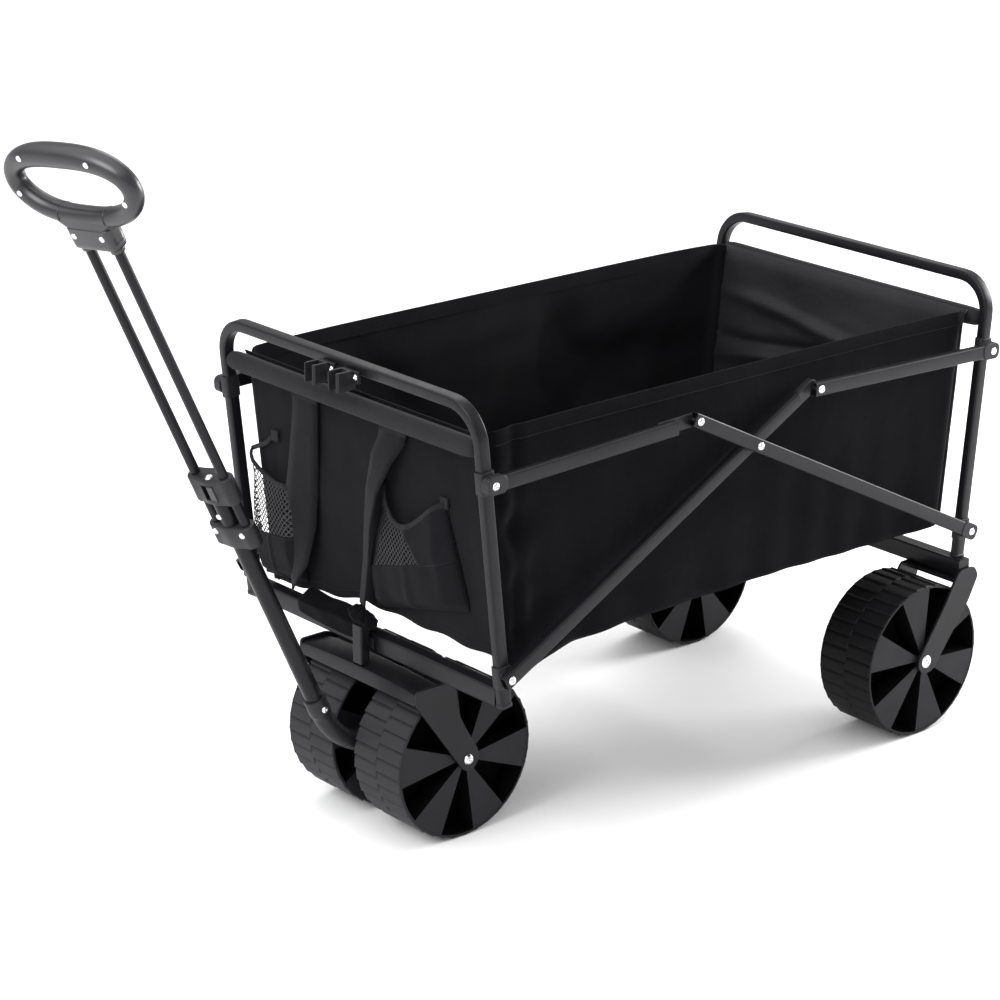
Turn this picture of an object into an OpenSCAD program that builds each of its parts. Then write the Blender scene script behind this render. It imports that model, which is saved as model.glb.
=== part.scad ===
// Folding utility wagon: two tube end frames joined by a scissor on each side,
// a fabric basket, a swivelling front truck, four wide wheels and a telescoping
// pull handle. Millimetres, +X to the rear, +Z up, wheels standing on Z = 0.

/* [Frame] */
// Half the distance between the front and rear lower pivots
half_base = 401; // [380:1:420]
// Height of the four lower pivots
pivot_z = 271; // [266:1:276]
// Height of the four upper pivots
upper_z = 516; // [510:1:522]
// Height of the top of the end frames
frame_top = 612; // [606:1:620]
// Distance from the centre plane to the outside of the legs
leg_out = 253.5; // [250:0.5:256]
// Outward lean of the legs in degrees
leg_lean = 6; // [5:0.5:7]
// Radius of the bend at the top corners, on the tube's outside
corner_r = 52; // [45:1:60]

/* [Scissor] */
// Height where the side bars cross
cross_z = 474.4; // [470:0.2:478]
// Bar length past the crossing, as a share of the length below it
bar_tail = 0.259; // [0.24:0.001:0.27]
// Height of the bar and link tubes
bar_h = 18; // [16:0.5:18]
// Thickness of the bar and link tubes
bar_t = 11; // [9:0.5:11]

/* [Basket] */
// Distance from the centre plane to the outside of the side panels
side_out = 232; // [225:1:234]
// Height of the basket's top edge
hem_z = 569; // [560:1:570]
// Height of the top of the floor mat
floor_z = 290; // [286:1:294]
// Thickness of the fabric panels
cloth_t = 3; // [2:0.5:4]

/* [Wheels] */
// Wheel radius over the tread lugs
wheel_r = 105; // [100:0.5:105]
// Wheel width
wheel_w = 89.5; // [84:0.5:89.5]
// Lugs around each half of the tread
lugs = 36; // [24:1:40]
// Distance from the centre plane to the inner face of the front wheels
front_gap = 21.5; // [21.5:0.5:24]
// Distance from the centre plane to the inner face of the rear wheels
rear_gap = 170.5; // [170.5:0.5:171]

/* [Handle] */
// Forward lean of the handle from upright, in degrees
handle_lean = 24.4; // [18:0.1:30]
// Distance from the handle's pivot forward to the lower tube
tube_offset = 99; // [98:0.5:100]
// Outer radius of the lower tube
tube_r = 11; // [10:0.5:11]
// Outer radius of the twin tubes
twin_r = 6; // [5:0.5:6.5]
// Distance from the centre plane to the twin tubes
twin_y = 23; // [22.5:0.5:24]
// Half the width of the straight part of the grip
grip_half = 52; // [50:1:60]
// Turn of the handle about its own tube, in degrees
handle_turn = 11; // [0:1:11]

/* [Hidden] */
$fn = 48;

// colours
steel = [0.10, 0.10, 0.105];
plastic = [0.07, 0.07, 0.075];
cloth = [0.045, 0.045, 0.05];
webbing = [0.055, 0.055, 0.06];
zinc = [0.75, 0.76, 0.78];

// the object's middle lies this far forward of the midpoint between the lower pivots
shift_x = 197.36;

// tube sizes: legs and top bars
leg_w = 16;
leg_t = 12.5;
leg_y = leg_out - leg_t / 2;
lean_tan = tan(leg_lean);
top_h = 14;
leg_bottom = 232;
rail_bottom = 207;

// scissor: bars lie just outside the legs, the crossing bar slants inward
gap_y = 2.5;
bar_in = leg_out + gap_y;
bar_y = bar_in + bar_t / 2;
head_y = bar_in + bar_t + 0.2;
cross_len = norm([half_base, cross_z - pivot_z]);
bar_len = cross_len * (1 + bar_tail);
bar_tilt = atan((cross_z - pivot_z) / half_base);
tail_x = half_base - bar_len * cos(bar_tilt);
tail_z = pivot_z + bar_len * sin(bar_tilt);
upper_x = half_base + (upper_z - pivot_z) * lean_tan;
link_len = norm([upper_x + tail_x, tail_z - upper_z]);
link_tilt = atan((tail_z - upper_z) / (upper_x + tail_x));
slant = 1.55;
pin_r = 3;
fit = 0.05;

// rolls that hold the basket, between the legs near their tops
roll_z = 554;
roll_r = 12.5;

// front truck and rear forks
front_axle_x = -343.2;
rear_axle_x = 323.5;
axle_z = wheel_r;
post_x = -416.6;
plate_top = 215;
arm_t = 4;
front_out = front_gap + wheel_w;
rear_out = rear_gap + wheel_w;

// handle, measured from its pivot along the lean
elbow_top = 138;
elbow_start = 114;
elbow_r = 105;
elbow_turn = 64;
upper_lo = 450;
upper_hi = 486;
lower_lo = 385;
lower_hi = 415;
twin_top = 824;
neck_lo = 812;
loop_lo = 851;
loop_hi = 929;
loop_r = 13;
bracket_end_r = 10.5;
window_near = 11.1;
window_h = 22;
slide_room = 0.05;

function leg_x(z) = half_base + (z - pivot_z) * lean_tan;

// ---------- helpers ----------
// puts children where the whole part has its middle at X = 0
module placed() { translate([shift_x, 0, 0]) children(); }

// near is the -Y side, far the +Y side
module both_sides() { children(); mirror([0, 1, 0]) children(); }

// flat outline in X and Z, given thickness from y0 to y1
module plate_xz(y0, y1) { translate([0, y1, 0]) rotate([90, 0, 0]) linear_extrude(y1 - y0) children(); }

// a pin or hole across the wagon
module pin_y(x, z, r, y0, y1) { translate([x, y0, z]) rotate([-90, 0, 0]) cylinder(h = y1 - y0, r = r); }

// domed screw head, its flat side at y0, growing toward -Y
module head_near(x, z, y0, r = 5.2) {
  pin_y(x, z, r, y0 - 1.6, y0);
  pin_y(x, z, r * 0.72, y0 - 2.6, y0 - 1.6);
}

// rest frame of the leaning handle: Z along the tubes, X rearward
module on_handle() { translate([front_axle_x, 0, axle_z]) rotate([0, -handle_lean, 0]) children(); }

// the same frame turned with the handle, its Z on the lower tube's axis
module on_tube() { on_handle() translate([-tube_offset, 0, 0]) rotate([0, 0, handle_turn]) children(); }

// ---------- end frames ----------
// solid outline of the bent tube seen from the end, standing on zero
module u_outline(out, top, r) {
  translate([-out, 0]) square([2 * out, top - r]);
  translate([-out + r, 0]) square([2 * (out - r), top]);
  for (s = [-1, 1]) translate([s * (out - r), top - r]) circle(r = r, $fn = 64);
}

// one end frame, leaning outward; dir is 1 at the rear and -1 at the front
module tube_frame(dir) {
  length = (frame_top - leg_bottom) / cos(leg_lean);
  translate([dir * leg_x(leg_bottom), 0, leg_bottom]) rotate([0, dir * leg_lean, 0])
    translate([leg_w / 2, 0, 0]) rotate([90, 0, 90]) translate([0, 0, -leg_w])
      linear_extrude(leg_w) difference() {
        u_outline(leg_out, length, corner_r);
        translate([0, -1]) u_outline(leg_out - leg_t, length - top_h + 1, corner_r - leg_t);
      }
}

module hem_roll(dir) {
  x = dir * leg_x(roll_z);
  translate([x, -leg_out + leg_t + 1.4, roll_z]) rotate([-90, 0, 0])
    cylinder(h = 2 * (leg_out - leg_t) - 2.8, r = roll_r);
}

// sheet that follows the lean of the legs, inside them
module end_panel(dir, z0, z1) {
  in0 = leg_x(z0) - 20; in1 = leg_x(z1) - 20;
  plate_xz(-side_out + cloth_t + 0.4, side_out - cloth_t - 0.4)
    polygon([[dir * in0, z0], [dir * (in0 + cloth_t), z0], [dir * (in1 + cloth_t), z1], [dir * in1, z1]]);
}

module rear_tube_frame() { color(steel) placed() tube_frame(1); }
module rear_hem_roll() { color(cloth) placed() hem_roll(1); }
module rear_panel() { color(cloth) placed() end_panel(1, floor_z + 0.4, hem_z); }

module side_panel() {
  x0 = leg_x(floor_z) - 21; x1 = leg_x(hem_z) - 21;
  plate_xz(-side_out, -side_out + cloth_t)
    polygon([[-x0, floor_z - 10], [x0, floor_z - 10], [x1, hem_z], [-x1, hem_z]]);
}
module side_panel_near() { color(cloth) placed() side_panel(); }
module side_panel_far() { color(cloth) placed() mirror([0, 1, 0]) side_panel(); }

module floor_mat() {
  x0 = leg_x(floor_z) - 24;
  color(cloth) placed() translate([-x0, -side_out + cloth_t + 0.3, floor_z - 8])
    cube([2 * x0, 2 * (side_out - cloth_t) - 0.6, 8]);
}

// bottom cross rail with its small end blocks
module rear_rail() {
  color(steel) placed()
    translate([leg_x(rail_bottom) - 9, -rear_out - 2.2, rail_bottom])
      cube([20, 2 * (rear_out + 2.2), leg_bottom - rail_bottom - 1]);
}

// fork beside each rear wheel: outer arm, inner arm and the bridge between them
module fork_arm() {
  polygon([[372, 202], [383, 219], [413, 219], [421, 205], [419, 197], [403, 172], [341, 93],
    [333, 88], [322, 88], [314, 92], [309, 100], [310, 110], [359, 180]]);
}
module rear_fork() {
  difference() {
    union() {
      plate_xz(-rear_out - 2.2 - arm_t, -rear_out - 2.2) fork_arm();
      plate_xz(-rear_gap + 1.2, -rear_gap + 4.2) intersection() {
        fork_arm();
        translate([200, 0]) square([300, rail_bottom - 0.2]);
      }
      translate([375, -rear_out - 2.4, rail_bottom - 4]) cube([38, rear_out - rear_gap + 6, 3.8]);
    }
    pin_y(rear_axle_x, axle_z, 5, -rear_out - 20, -rear_gap + 20);
  }
}
module rear_fork_near() { color(steel) placed() rear_fork(); }
module rear_fork_far() { color(steel) placed() mirror([0, 1, 0]) rear_fork(); }
module rear_axle_bolts() {
  color(zinc) placed() both_sides() {
    pin_y(rear_axle_x, axle_z, 5, -rear_out - 2.2 - arm_t, -rear_gap + 4.2);
    head_near(rear_axle_x, axle_z, -rear_out - 2.2 - arm_t, 6.5);
    pin_y(rear_axle_x, axle_z, 8, -rear_gap + 4.2, -rear_gap + 6);
  }
}

// plastic plates between a leg and the bars that turn on it
module leg_bracket(dir, x, z) {
  translate([dir * x, 0, z]) rotate([0, dir * leg_lean, 0]) difference() {
    translate([-leg_w / 2 - 3, -leg_out - 1.4, -14]) cube([leg_w + 6, leg_t + 4.4, 28]);
    translate([-leg_w / 2, -leg_out, -20]) cube([leg_w, leg_t, 40]);
    pin_y(0, 0, pin_r + fit, -leg_out - 10, -leg_out + 1);
  }
}
module brackets(dir) {
  both_sides() {
    leg_bracket(dir, half_base, pivot_z);
    leg_bracket(dir, upper_x, upper_z);
  }
}
module pivot_pins(dir) {
  both_sides() for (p = [[half_base, pivot_z], [upper_x, upper_z]]) {
    pin_y(dir * p[0], p[1], pin_r, -head_y, -leg_out - 0.1);
    head_near(dir * p[0], p[1], -head_y);
  }
}
module rear_brackets() { color(plastic) placed() brackets(1); }
module rear_pivot_pins() { color(zinc) placed() pivot_pins(1); }

// ---------- scissor ----------
// bar from a lower pivot up over the crossing, as seen from the near side
module bar_outline(from, to) {
  translate([from, -bar_h / 2]) square([to - from, bar_h]);
}

// bar from the rear lower pivot forward and up; its rear end is a plastic tongue
module rear_bar() {
  difference() {
    translate([half_base, 0, pivot_z]) rotate([0, 180 + bar_tilt, 0]) mirror([0, 0, 1])
      plate_xz(-bar_in - bar_t, -bar_in) union() {
        bar_outline(17, bar_len);
        translate([bar_len, 0]) circle(r = bar_h / 2);
      }
    pin_y(0, cross_z, pin_r, -bar_in - 20, -bar_in + 20);
    pin_y(tail_x, tail_z, pin_r, -bar_in - 20, -bar_in + 20);
  }
}
module rear_bar_tip() {
  difference() {
    translate([half_base, 0, pivot_z]) rotate([0, 180 + bar_tilt, 0]) mirror([0, 0, 1])
      plate_xz(-bar_in - bar_t + 0.6, -bar_in - 0.6) union() {
        translate([0, -bar_h / 2 + 1]) square([16.8, bar_h - 2]);
        circle(r = bar_h / 2 - 0.5);
      }
    pin_y(half_base, pivot_z, pin_r + fit, -bar_in - 20, -bar_in + 20);
  }
}
// pins of the crossing and of the bar's free end
module scissor_pins() {
  pin_y(0, cross_z, pin_r, -head_y, -bar_in + bar_t + 2.4);
  head_near(0, cross_z, -head_y);
  pin_y(0, cross_z, 5, -bar_in + bar_t + 2.4, -bar_in + bar_t + 4);
  pin_y(tail_x, tail_z, pin_r, -head_y, -bar_in - 2);
  head_near(tail_x, tail_z, -head_y);
}
module rear_bar_near() { color(steel) placed() rear_bar(); }
module rear_bar_near_tip() { color(plastic) placed() rear_bar_tip(); }
module scissor_pins_near() { color(zinc) placed() scissor_pins(); }
module rear_bar_far() { color(steel) placed() mirror([0, 1, 0]) rear_bar(); }
module rear_bar_far_tip() { color(plastic) placed() mirror([0, 1, 0]) rear_bar_tip(); }
module scissor_pins_far() { color(zinc) placed() mirror([0, 1, 0]) scissor_pins(); }

// bar from the front lower pivot rearward and up, slanting in behind the other one
module slanted() {
  translate([-half_base, -bar_y, pivot_z]) rotate([0, -bar_tilt, 0]) rotate([0, 0, slant]) children();
}
module front_bar() {
  difference() {
    slanted() plate_xz(-bar_t / 2, bar_t / 2) union() {
      bar_outline(0, bar_len - 24);
      circle(r = bar_h / 2);
    }
    pin_y(-half_base, pivot_z, pin_r + fit, -bar_in - 20, -bar_in + 20);
    pin_y(0, cross_z, pin_r + fit, -bar_in - 20, -bar_in + 30);
  }
}
module front_bar_tip() {
  slanted() plate_xz(-bar_t / 2 + 0.6, bar_t / 2 - 0.6) union() {
    translate([bar_len - 23.8, -bar_h / 2 + 1]) square([23.8, bar_h - 2]);
    translate([bar_len, 0]) circle(r = bar_h / 2 + 1);
  }
}
module front_bar_near() { color(steel) placed() front_bar(); }
module front_bar_near_tip() { color(plastic) placed() front_bar_tip(); }
module front_bar_far() { color(steel) placed() mirror([0, 1, 0]) front_bar(); }
module front_bar_far_tip() { color(plastic) placed() mirror([0, 1, 0]) front_bar_tip(); }

// upper links; each has a plain drilled end to the front and a tongue to the rear
module front_link() {
  difference() {
    translate([-upper_x, 0, upper_z]) rotate([0, -link_tilt, 0]) union() {
      plate_xz(-bar_in - bar_t, -bar_in) union() {
        bar_outline(0, link_len - 36);
        circle(r = bar_h / 2);
      }
      plate_xz(-bar_in - 1, -bar_in + 3) bar_outline(link_len - 60, link_len - 36);
      plate_xz(-bar_in + 1, -bar_in + 4) union() {
        translate([link_len - 60, -bar_h / 2 + 1]) square([60, bar_h - 2]);
        translate([link_len, 0]) circle(r = bar_h / 2 + 1);
      }
    }
    pin_y(-upper_x, upper_z, pin_r + fit, -bar_in - 20, -bar_in + 20);
  }
}
module rear_link() {
  difference() {
    translate([upper_x, 0, upper_z]) rotate([0, 180 + link_tilt, 0]) mirror([0, 0, 1]) union() {
      plate_xz(-bar_in - bar_t, -bar_in) union() {
        bar_outline(17, link_len);
        translate([link_len, 0]) circle(r = bar_h / 2);
      }
      plate_xz(-bar_in - bar_t + 0.6, -bar_in - 0.6) union() {
        translate([0, -bar_h / 2 + 1]) square([17.2, bar_h - 2]);
        circle(r = bar_h / 2 - 0.5);
      }
    }
    pin_y(upper_x, upper_z, pin_r + fit, -bar_in - 20, -bar_in + 20);
    pin_y(-tail_x, tail_z, pin_r, -bar_in - 20, -bar_in + 20);
  }
}
module link_screw() {
  pin_y(-tail_x, tail_z, pin_r, -head_y, -bar_in - 1);
  head_near(-tail_x, tail_z, -head_y);
}
module front_link_near() { color(steel) placed() front_link(); }
module front_link_far() { color(steel) placed() mirror([0, 1, 0]) front_link(); }
module rear_link_near() { color(steel) placed() rear_link(); }
module rear_link_far() { color(steel) placed() mirror([0, 1, 0]) rear_link(); }
module rear_link_near_screw() { color(zinc) placed() link_screw(); }
module rear_link_far_screw() { color(zinc) placed() mirror([0, 1, 0]) link_screw(); }

// ---------- front frame ----------
module front_tube_frame() { color(steel) placed() tube_frame(-1); }
module front_hem_roll() { color(cloth) placed() hem_roll(-1); }
module front_panel() { color(cloth) placed() end_panel(-1, floor_z + 0.4, hem_z); }

// point in front of the front panel's face, at a height and a distance out from it
function out_from_panel(z, out) = [-leg_x(z) + 16.7 - out, z];

// pouch on the front panel, open at the top and toward the panel, with a belly
module pocket(y0, y1) {
  z0 = 296; z1 = 462; wall = 2.5; belly = 22; mouth = 16;
  difference() {
    plate_xz(y0, y1) polygon([
      out_from_panel(z0, 0), out_from_panel(z0 + 4, 10), out_from_panel(z0 + 90, belly),
      out_from_panel(z1, mouth), out_from_panel(z1, 0)]);
    plate_xz(y0 + wall, y1 - wall) polygon([
      out_from_panel(z0 + wall, -1), out_from_panel(z0 + 4 + wall, 10 - wall),
      out_from_panel(z0 + 90, belly - wall), out_from_panel(z1 + 1, mouth - wall),
      out_from_panel(z1 + 1, -1)]);
  }
}
module pocket_left() { color(cloth) placed() pocket(146, 226); }
module pocket_right() { color(cloth) placed() pocket(-180, -32); }

// webbing strap that hangs on the panel; its outline is in Y and in height below its top
strap_top = 538;
strap_t = 2.5;
module strap(outline) {
  translate([out_from_panel(strap_top, strap_t)[0], 0, strap_top]) rotate([0, -leg_lean, 0])
    rotate([90, 0, 90]) linear_extrude(strap_t) polygon(outline);
}
module strap_left() { color(webbing) placed() strap([[79, 0], [129, 0], [143, -238], [108, -238]]); }
module strap_right() { color(webbing) placed()
  strap([[-88, 0], [-38, 0], [2, -76], [30, -238], [0, -238], [-28, -76]]); }

module front_rail() {
  color(steel) placed() translate([-406, -leg_out + leg_t, 230]) cube([20, 2 * (leg_out - leg_t), 24]);
}
// square post in front of the rail, carrying the swivel bolt
module front_post() {
  color(steel) placed() {
    translate([post_x - 7, -9, plate_top + 1.5]) cube([14, 18, 50]);
    translate([post_x + 6, -16, 236]) cube([4.6, 32, 14]);
    translate([post_x, 0, plate_top - 6]) cylinder(h = 7.6, r = 4.95);
  }
}
// two double hooks on the top bar that clip round the twin tubes; each has a screw tab beside it
module hook_clips() {
  x = -leg_x(frame_top) - leg_w / 2 - 0.5;
  color(plastic) placed() for (s = [-1, 1]) translate([x, s * twin_y, frame_top - 32]) {
    translate([-8, -10.4, 0]) cube([8, 20.8, 24]);
    translate([-4.5, -20, 9]) cube([4.5, 10, 15]);
    for (t = [-1, 1]) translate([-27, t * 8.4 - 2, 0]) cube([20, 4, 24]);
  }
}
module front_brackets() { color(plastic) placed() brackets(-1); }
module front_pivot_pins() { color(zinc) placed() pivot_pins(-1); }

// ---------- truck ----------
module truck_plate() {
  color(steel) placed() difference() {
    union() {
      translate([-424, -front_out - 2, plate_top - 4]) cube([42, 2 * front_out + 4, 4]);
      translate([-424, -front_out - 2, plate_top - 20]) cube([4, 2 * front_out + 4, 16.2]);
    }
    translate([post_x, 0, 150]) cylinder(h = 100, r = 5);
  }
}
module truck_arm() {
  polygon([[-424, 215], [-382, 215], [-363, 206], [-361, 175], [-345, 144], [-328, 116], [-326, 104],
    [-331, 93], [-341, 88], [-351, 92], [-418, 186], [-424, 196]]);
}
module truck_arms() {
  color(steel) placed() both_sides() difference() {
    plate_xz(-front_out - 2.1 - arm_t, -front_out - 2.1) truck_arm();
    pin_y(front_axle_x, axle_z, 5, -front_out - 20, 0);
  }
}
module front_axle() {
  color(zinc) placed() {
    pin_y(front_axle_x, axle_z, 5, -front_out - 2.1 - arm_t, front_out + 2.1 + arm_t);
    both_sides() head_near(front_axle_x, axle_z, -front_out - 2.1 - arm_t, 6.5);
  }
}

// ---------- wheels ----------
// ring of sloping lugs; phase is a share of one lug
function lug_ring(phase) = [for (i = [0 : lugs - 1]) for (k = [0, 1])
  let (a = (i + phase + (k == 1 ? 0.86 : 0)) * 360 / lugs, r = wheel_r - (k == 1 ? 0 : 2.6))
    [r * cos(a), r * sin(a)]];

module sector(a, half, r0, r1) {
  polygon([r0 * [cos(a - half), sin(a - half)], r1 * [cos(a - half), sin(a - half)],
    r1 / cos(half) * [cos(a), sin(a)], r1 * [cos(a + half), sin(a + half)],
    r0 * [cos(a + half), sin(a + half)]]);
}

// wheel standing across the wagon from y = 0 to wheel_w
module wheel(turn) {
  web = 12;
  depth = (wheel_w - web) / 2;
  rotate([90, 0, 0]) mirror([0, 0, 1]) rotate(turn) difference() {
    union() {
      linear_extrude(wheel_w / 2) polygon(lug_ring(0));
      translate([0, 0, wheel_w / 2]) linear_extrude(wheel_w / 2) polygon(lug_ring(0.5));
    }
    for (z = [-1, wheel_w - depth]) translate([0, 0, z]) linear_extrude(depth + 1)
      for (k = [0 : 5]) intersection() {
        sector(30 + 60 * k, 15, 24, 110);
        circle(r = wheel_r - 6, $fn = 90);
      }
    for (z = [-1, wheel_w - 10]) translate([0, 0, z]) cylinder(h = 11, r = 17);
    translate([0, 0, -1]) cylinder(h = wheel_w + 2, r = 5 + fit);
  }
}
module wheel_at(x, y, turn) { translate([x, y, axle_z]) wheel(turn); }
module wheel_front_near() { color(plastic) placed() wheel_at(front_axle_x, -front_out, 7.5); }
module wheel_front_far() { color(plastic) placed() wheel_at(front_axle_x, front_gap, 12); }
module wheel_rear_near() { color(plastic) placed() wheel_at(rear_axle_x, -rear_out, 19.5); }
module wheel_rear_far() { color(plastic) placed() wheel_at(rear_axle_x, rear_gap, 5); }

// ---------- handle ----------
module handle_elbow() {
  color(plastic) placed() on_handle() difference() {
    union() {
      translate([-tube_offset, 0, elbow_start - 1.5]) cylinder(h = elbow_top - elbow_start + 1.5, r = 14);
      translate([elbow_r - tube_offset, 0, elbow_start]) rotate([90, 0, 0])
        rotate([0, 0, 180]) rotate_extrude(angle = elbow_turn, $fn = 96)
          translate([elbow_r, 0]) circle(r = 12.5);
      rotate([0, -elbow_turn, 0]) cylinder(h = 48, r = 12.8);
      pin_y(0, 0, 17, -19, 19);
    }
    translate([-tube_offset, 0, elbow_start + 3]) cylinder(h = 60, r = tube_r + fit);
    pin_y(0, 0, 5 + fit, -30, 30);
  }
}
module elbow_screw() {
  color(zinc) placed() on_handle() translate([-tube_offset, -14, elbow_start + 9])
    rotate([90, 0, 0]) cylinder(h = 2.2, r = 4);
}
module lower_tube() {
  color(steel) placed() on_tube() translate([0, 0, elbow_start + 3])
    difference() {
      cylinder(h = upper_hi - 14 - elbow_start - 3, r = tube_r);
      translate([0, 0, -1]) cylinder(h = 400, r = tube_r - 1.5);
      // slot behind the latch window
      translate([-20, -20, upper_lo + 5 - elbow_start - 3]) cube([13, 40, 40]);
    }
}

// outline of a bracket across the three tubes, Y along its width, fuller over the middle tube
module bracket_outline() {
  mid = tube_r + 2;
  for (s = [-1, 1]) translate([0, s * twin_y]) circle(r = bracket_end_r);
  polygon([for (t = [-1, 1]) each [
    [t * bracket_end_r, -t * twin_y], [t * bracket_end_r, -t * 18.5], [t * mid, -t * 11.2],
    [t * mid, t * 11.2], [t * bracket_end_r, t * 18.5], [t * bracket_end_r, t * twin_y]]]);
}
module upper_bracket() {
  color(plastic) placed() on_tube() difference() {
    translate([0, 0, upper_lo]) linear_extrude(upper_hi - upper_lo) bracket_outline();
    translate([0, 0, upper_lo - 1]) cylinder(h = upper_hi - 14 - upper_lo + 1, r = tube_r);
    for (s = [-1, 1]) translate([0, s * twin_y, upper_lo - 1]) cylinder(h = 60, r = twin_r + slide_room);
    translate([-20, -window_near, upper_lo + 7]) cube([13, window_near + 8.2, window_h]);
  }
}
// sprung button in the window of the upper bracket
module lock_button() {
  color([0.16, 0.16, 0.165]) placed() on_tube() translate([-13.6, 0.3 - window_near, upper_lo + 7.3])
    cube([3.2, 9.8, window_h - 0.6]);
}
module handle_screws() {
  color(zinc) placed() on_tube() translate([-6, 0, upper_hi]) cylinder(h = 2, r = 4.5);
}
module twin_tubes() {
  color(steel) placed() on_tube() for (s = [-1, 1])
    translate([0, s * twin_y, lower_lo + 4]) cylinder(h = twin_top - lower_lo - 4, r = twin_r);
}
module lower_bracket() {
  color(plastic) placed() on_tube() difference() {
    translate([0, 0, lower_lo]) linear_extrude(lower_hi - lower_lo) bracket_outline();
    translate([0, 0, lower_lo - 1]) cylinder(h = 60, r = tube_r + slide_room);
    for (s = [-1, 1]) translate([0, s * twin_y, lower_lo + 4]) cylinder(h = 60, r = twin_r);
  }
}
module bracket_screws() {
  color(zinc) placed() on_tube() for (s = [-1, 1])
    translate([-10.6, s * twin_y, lower_lo + 21]) rotate([0, -90, 0]) cylinder(h = 2, r = 4);
}

// D-shaped grip loop on a tapering neck, thicker along the hand bar
module half_turn() {
  translate([0, grip_half, (loop_lo + loop_hi) / 2]) rotate([90, 0, 90]) rotate([0, 0, -90])
    rotate_extrude(angle = 180, $fn = 72) translate([(loop_hi - loop_lo) / 2, 0]) circle(r = loop_r);
}
module grip() {
  color(plastic) placed() on_tube() difference() {
    union() {
      for (z = [loop_lo, loop_hi]) translate([0, -grip_half, z]) rotate([-90, 0, 0])
        cylinder(h = 2 * grip_half, r = loop_r);
      translate([0, 14 - grip_half, loop_hi]) rotate([-90, 0, 0])
        cylinder(h = 2 * grip_half - 28, r = loop_r + 1.5);
      both_sides() half_turn();
      translate([-loop_r, 0, 0]) rotate([90, 0, 90]) linear_extrude(2 * loop_r)
        polygon([[-33, neck_lo], [33, neck_lo], [34, neck_lo + 28], [52, loop_lo],
          [-52, loop_lo], [-34, neck_lo + 28]]);
    }
    for (s = [-1, 1]) translate([0, s * twin_y, neck_lo - 1]) cylinder(h = twin_top - neck_lo + 1, r = twin_r);
  }
}
module grip_screws() {
  color(zinc) placed() on_tube() translate([-loop_r - 0.05, 0, 0]) rotate([0, -90, 0]) both_sides() {
    translate([neck_lo + 24, 22, 0]) cylinder(h = 1.8, r = 4);
    translate([loop_hi, grip_half - 6, 0]) cylinder(h = 1.4, r = 3.6);
    translate([loop_lo + 23, grip_half + 29, 0]) cylinder(h = 1.4, r = 3.6);
  }
}

rear_tube_frame();
rear_hem_roll();
rear_panel();
side_panel_near();
side_panel_far();
floor_mat();
rear_rail();
rear_fork_near();
rear_fork_far();
rear_axle_bolts();
rear_brackets();
rear_pivot_pins();
rear_bar_near();
rear_bar_near_tip();
scissor_pins_near();
rear_bar_far();
rear_bar_far_tip();
scissor_pins_far();
front_bar_near();
front_bar_near_tip();
front_bar_far();
front_bar_far_tip();
front_link_near();
front_link_far();
rear_link_near();
rear_link_far();
rear_link_near_screw();
rear_link_far_screw();
front_tube_frame();
front_hem_roll();
front_panel();
pocket_left();
pocket_right();
strap_left();
strap_right();
front_rail();
front_post();
hook_clips();
front_brackets();
front_pivot_pins();
truck_plate();
truck_arms();
front_axle();
wheel_front_near();
wheel_front_far();
wheel_rear_near();
wheel_rear_far();
handle_elbow();
elbow_screw();
lower_tube();
upper_bracket();
handle_screws();
lock_button();
twin_tubes();
lower_bracket();
bracket_screws();
grip();
grip_screws();
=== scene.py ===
"""Looks of the folding wagon: camera, light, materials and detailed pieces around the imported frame."""
from bisect import bisect_left
from math import atan2, copysign, cos, exp, hypot, pi, radians, sin, tan

import bmesh
import bpy
from mathutils import Matrix, Vector, noise


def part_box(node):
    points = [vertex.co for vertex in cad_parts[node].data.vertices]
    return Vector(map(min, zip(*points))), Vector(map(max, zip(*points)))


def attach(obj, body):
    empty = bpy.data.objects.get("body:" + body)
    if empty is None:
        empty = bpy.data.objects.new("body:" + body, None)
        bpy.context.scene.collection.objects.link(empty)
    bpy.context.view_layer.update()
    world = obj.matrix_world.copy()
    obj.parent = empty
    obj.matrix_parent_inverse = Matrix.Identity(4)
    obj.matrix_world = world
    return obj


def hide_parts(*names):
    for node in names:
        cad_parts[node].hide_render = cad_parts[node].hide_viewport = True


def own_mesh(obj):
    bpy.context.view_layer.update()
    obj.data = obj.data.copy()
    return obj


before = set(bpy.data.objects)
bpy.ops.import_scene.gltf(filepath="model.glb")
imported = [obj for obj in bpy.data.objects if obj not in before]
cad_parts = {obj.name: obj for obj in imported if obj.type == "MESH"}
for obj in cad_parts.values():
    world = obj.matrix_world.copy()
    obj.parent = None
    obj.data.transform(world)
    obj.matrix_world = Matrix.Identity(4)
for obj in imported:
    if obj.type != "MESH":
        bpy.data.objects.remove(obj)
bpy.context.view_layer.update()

FRONT, REAR = "front_frame", "rear_frame"
X_AXIS, Y_AXIS, Z_AXIS = Vector((1, 0, 0)), Vector((0, 1, 0)), Vector((0, 0, 1))

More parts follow.
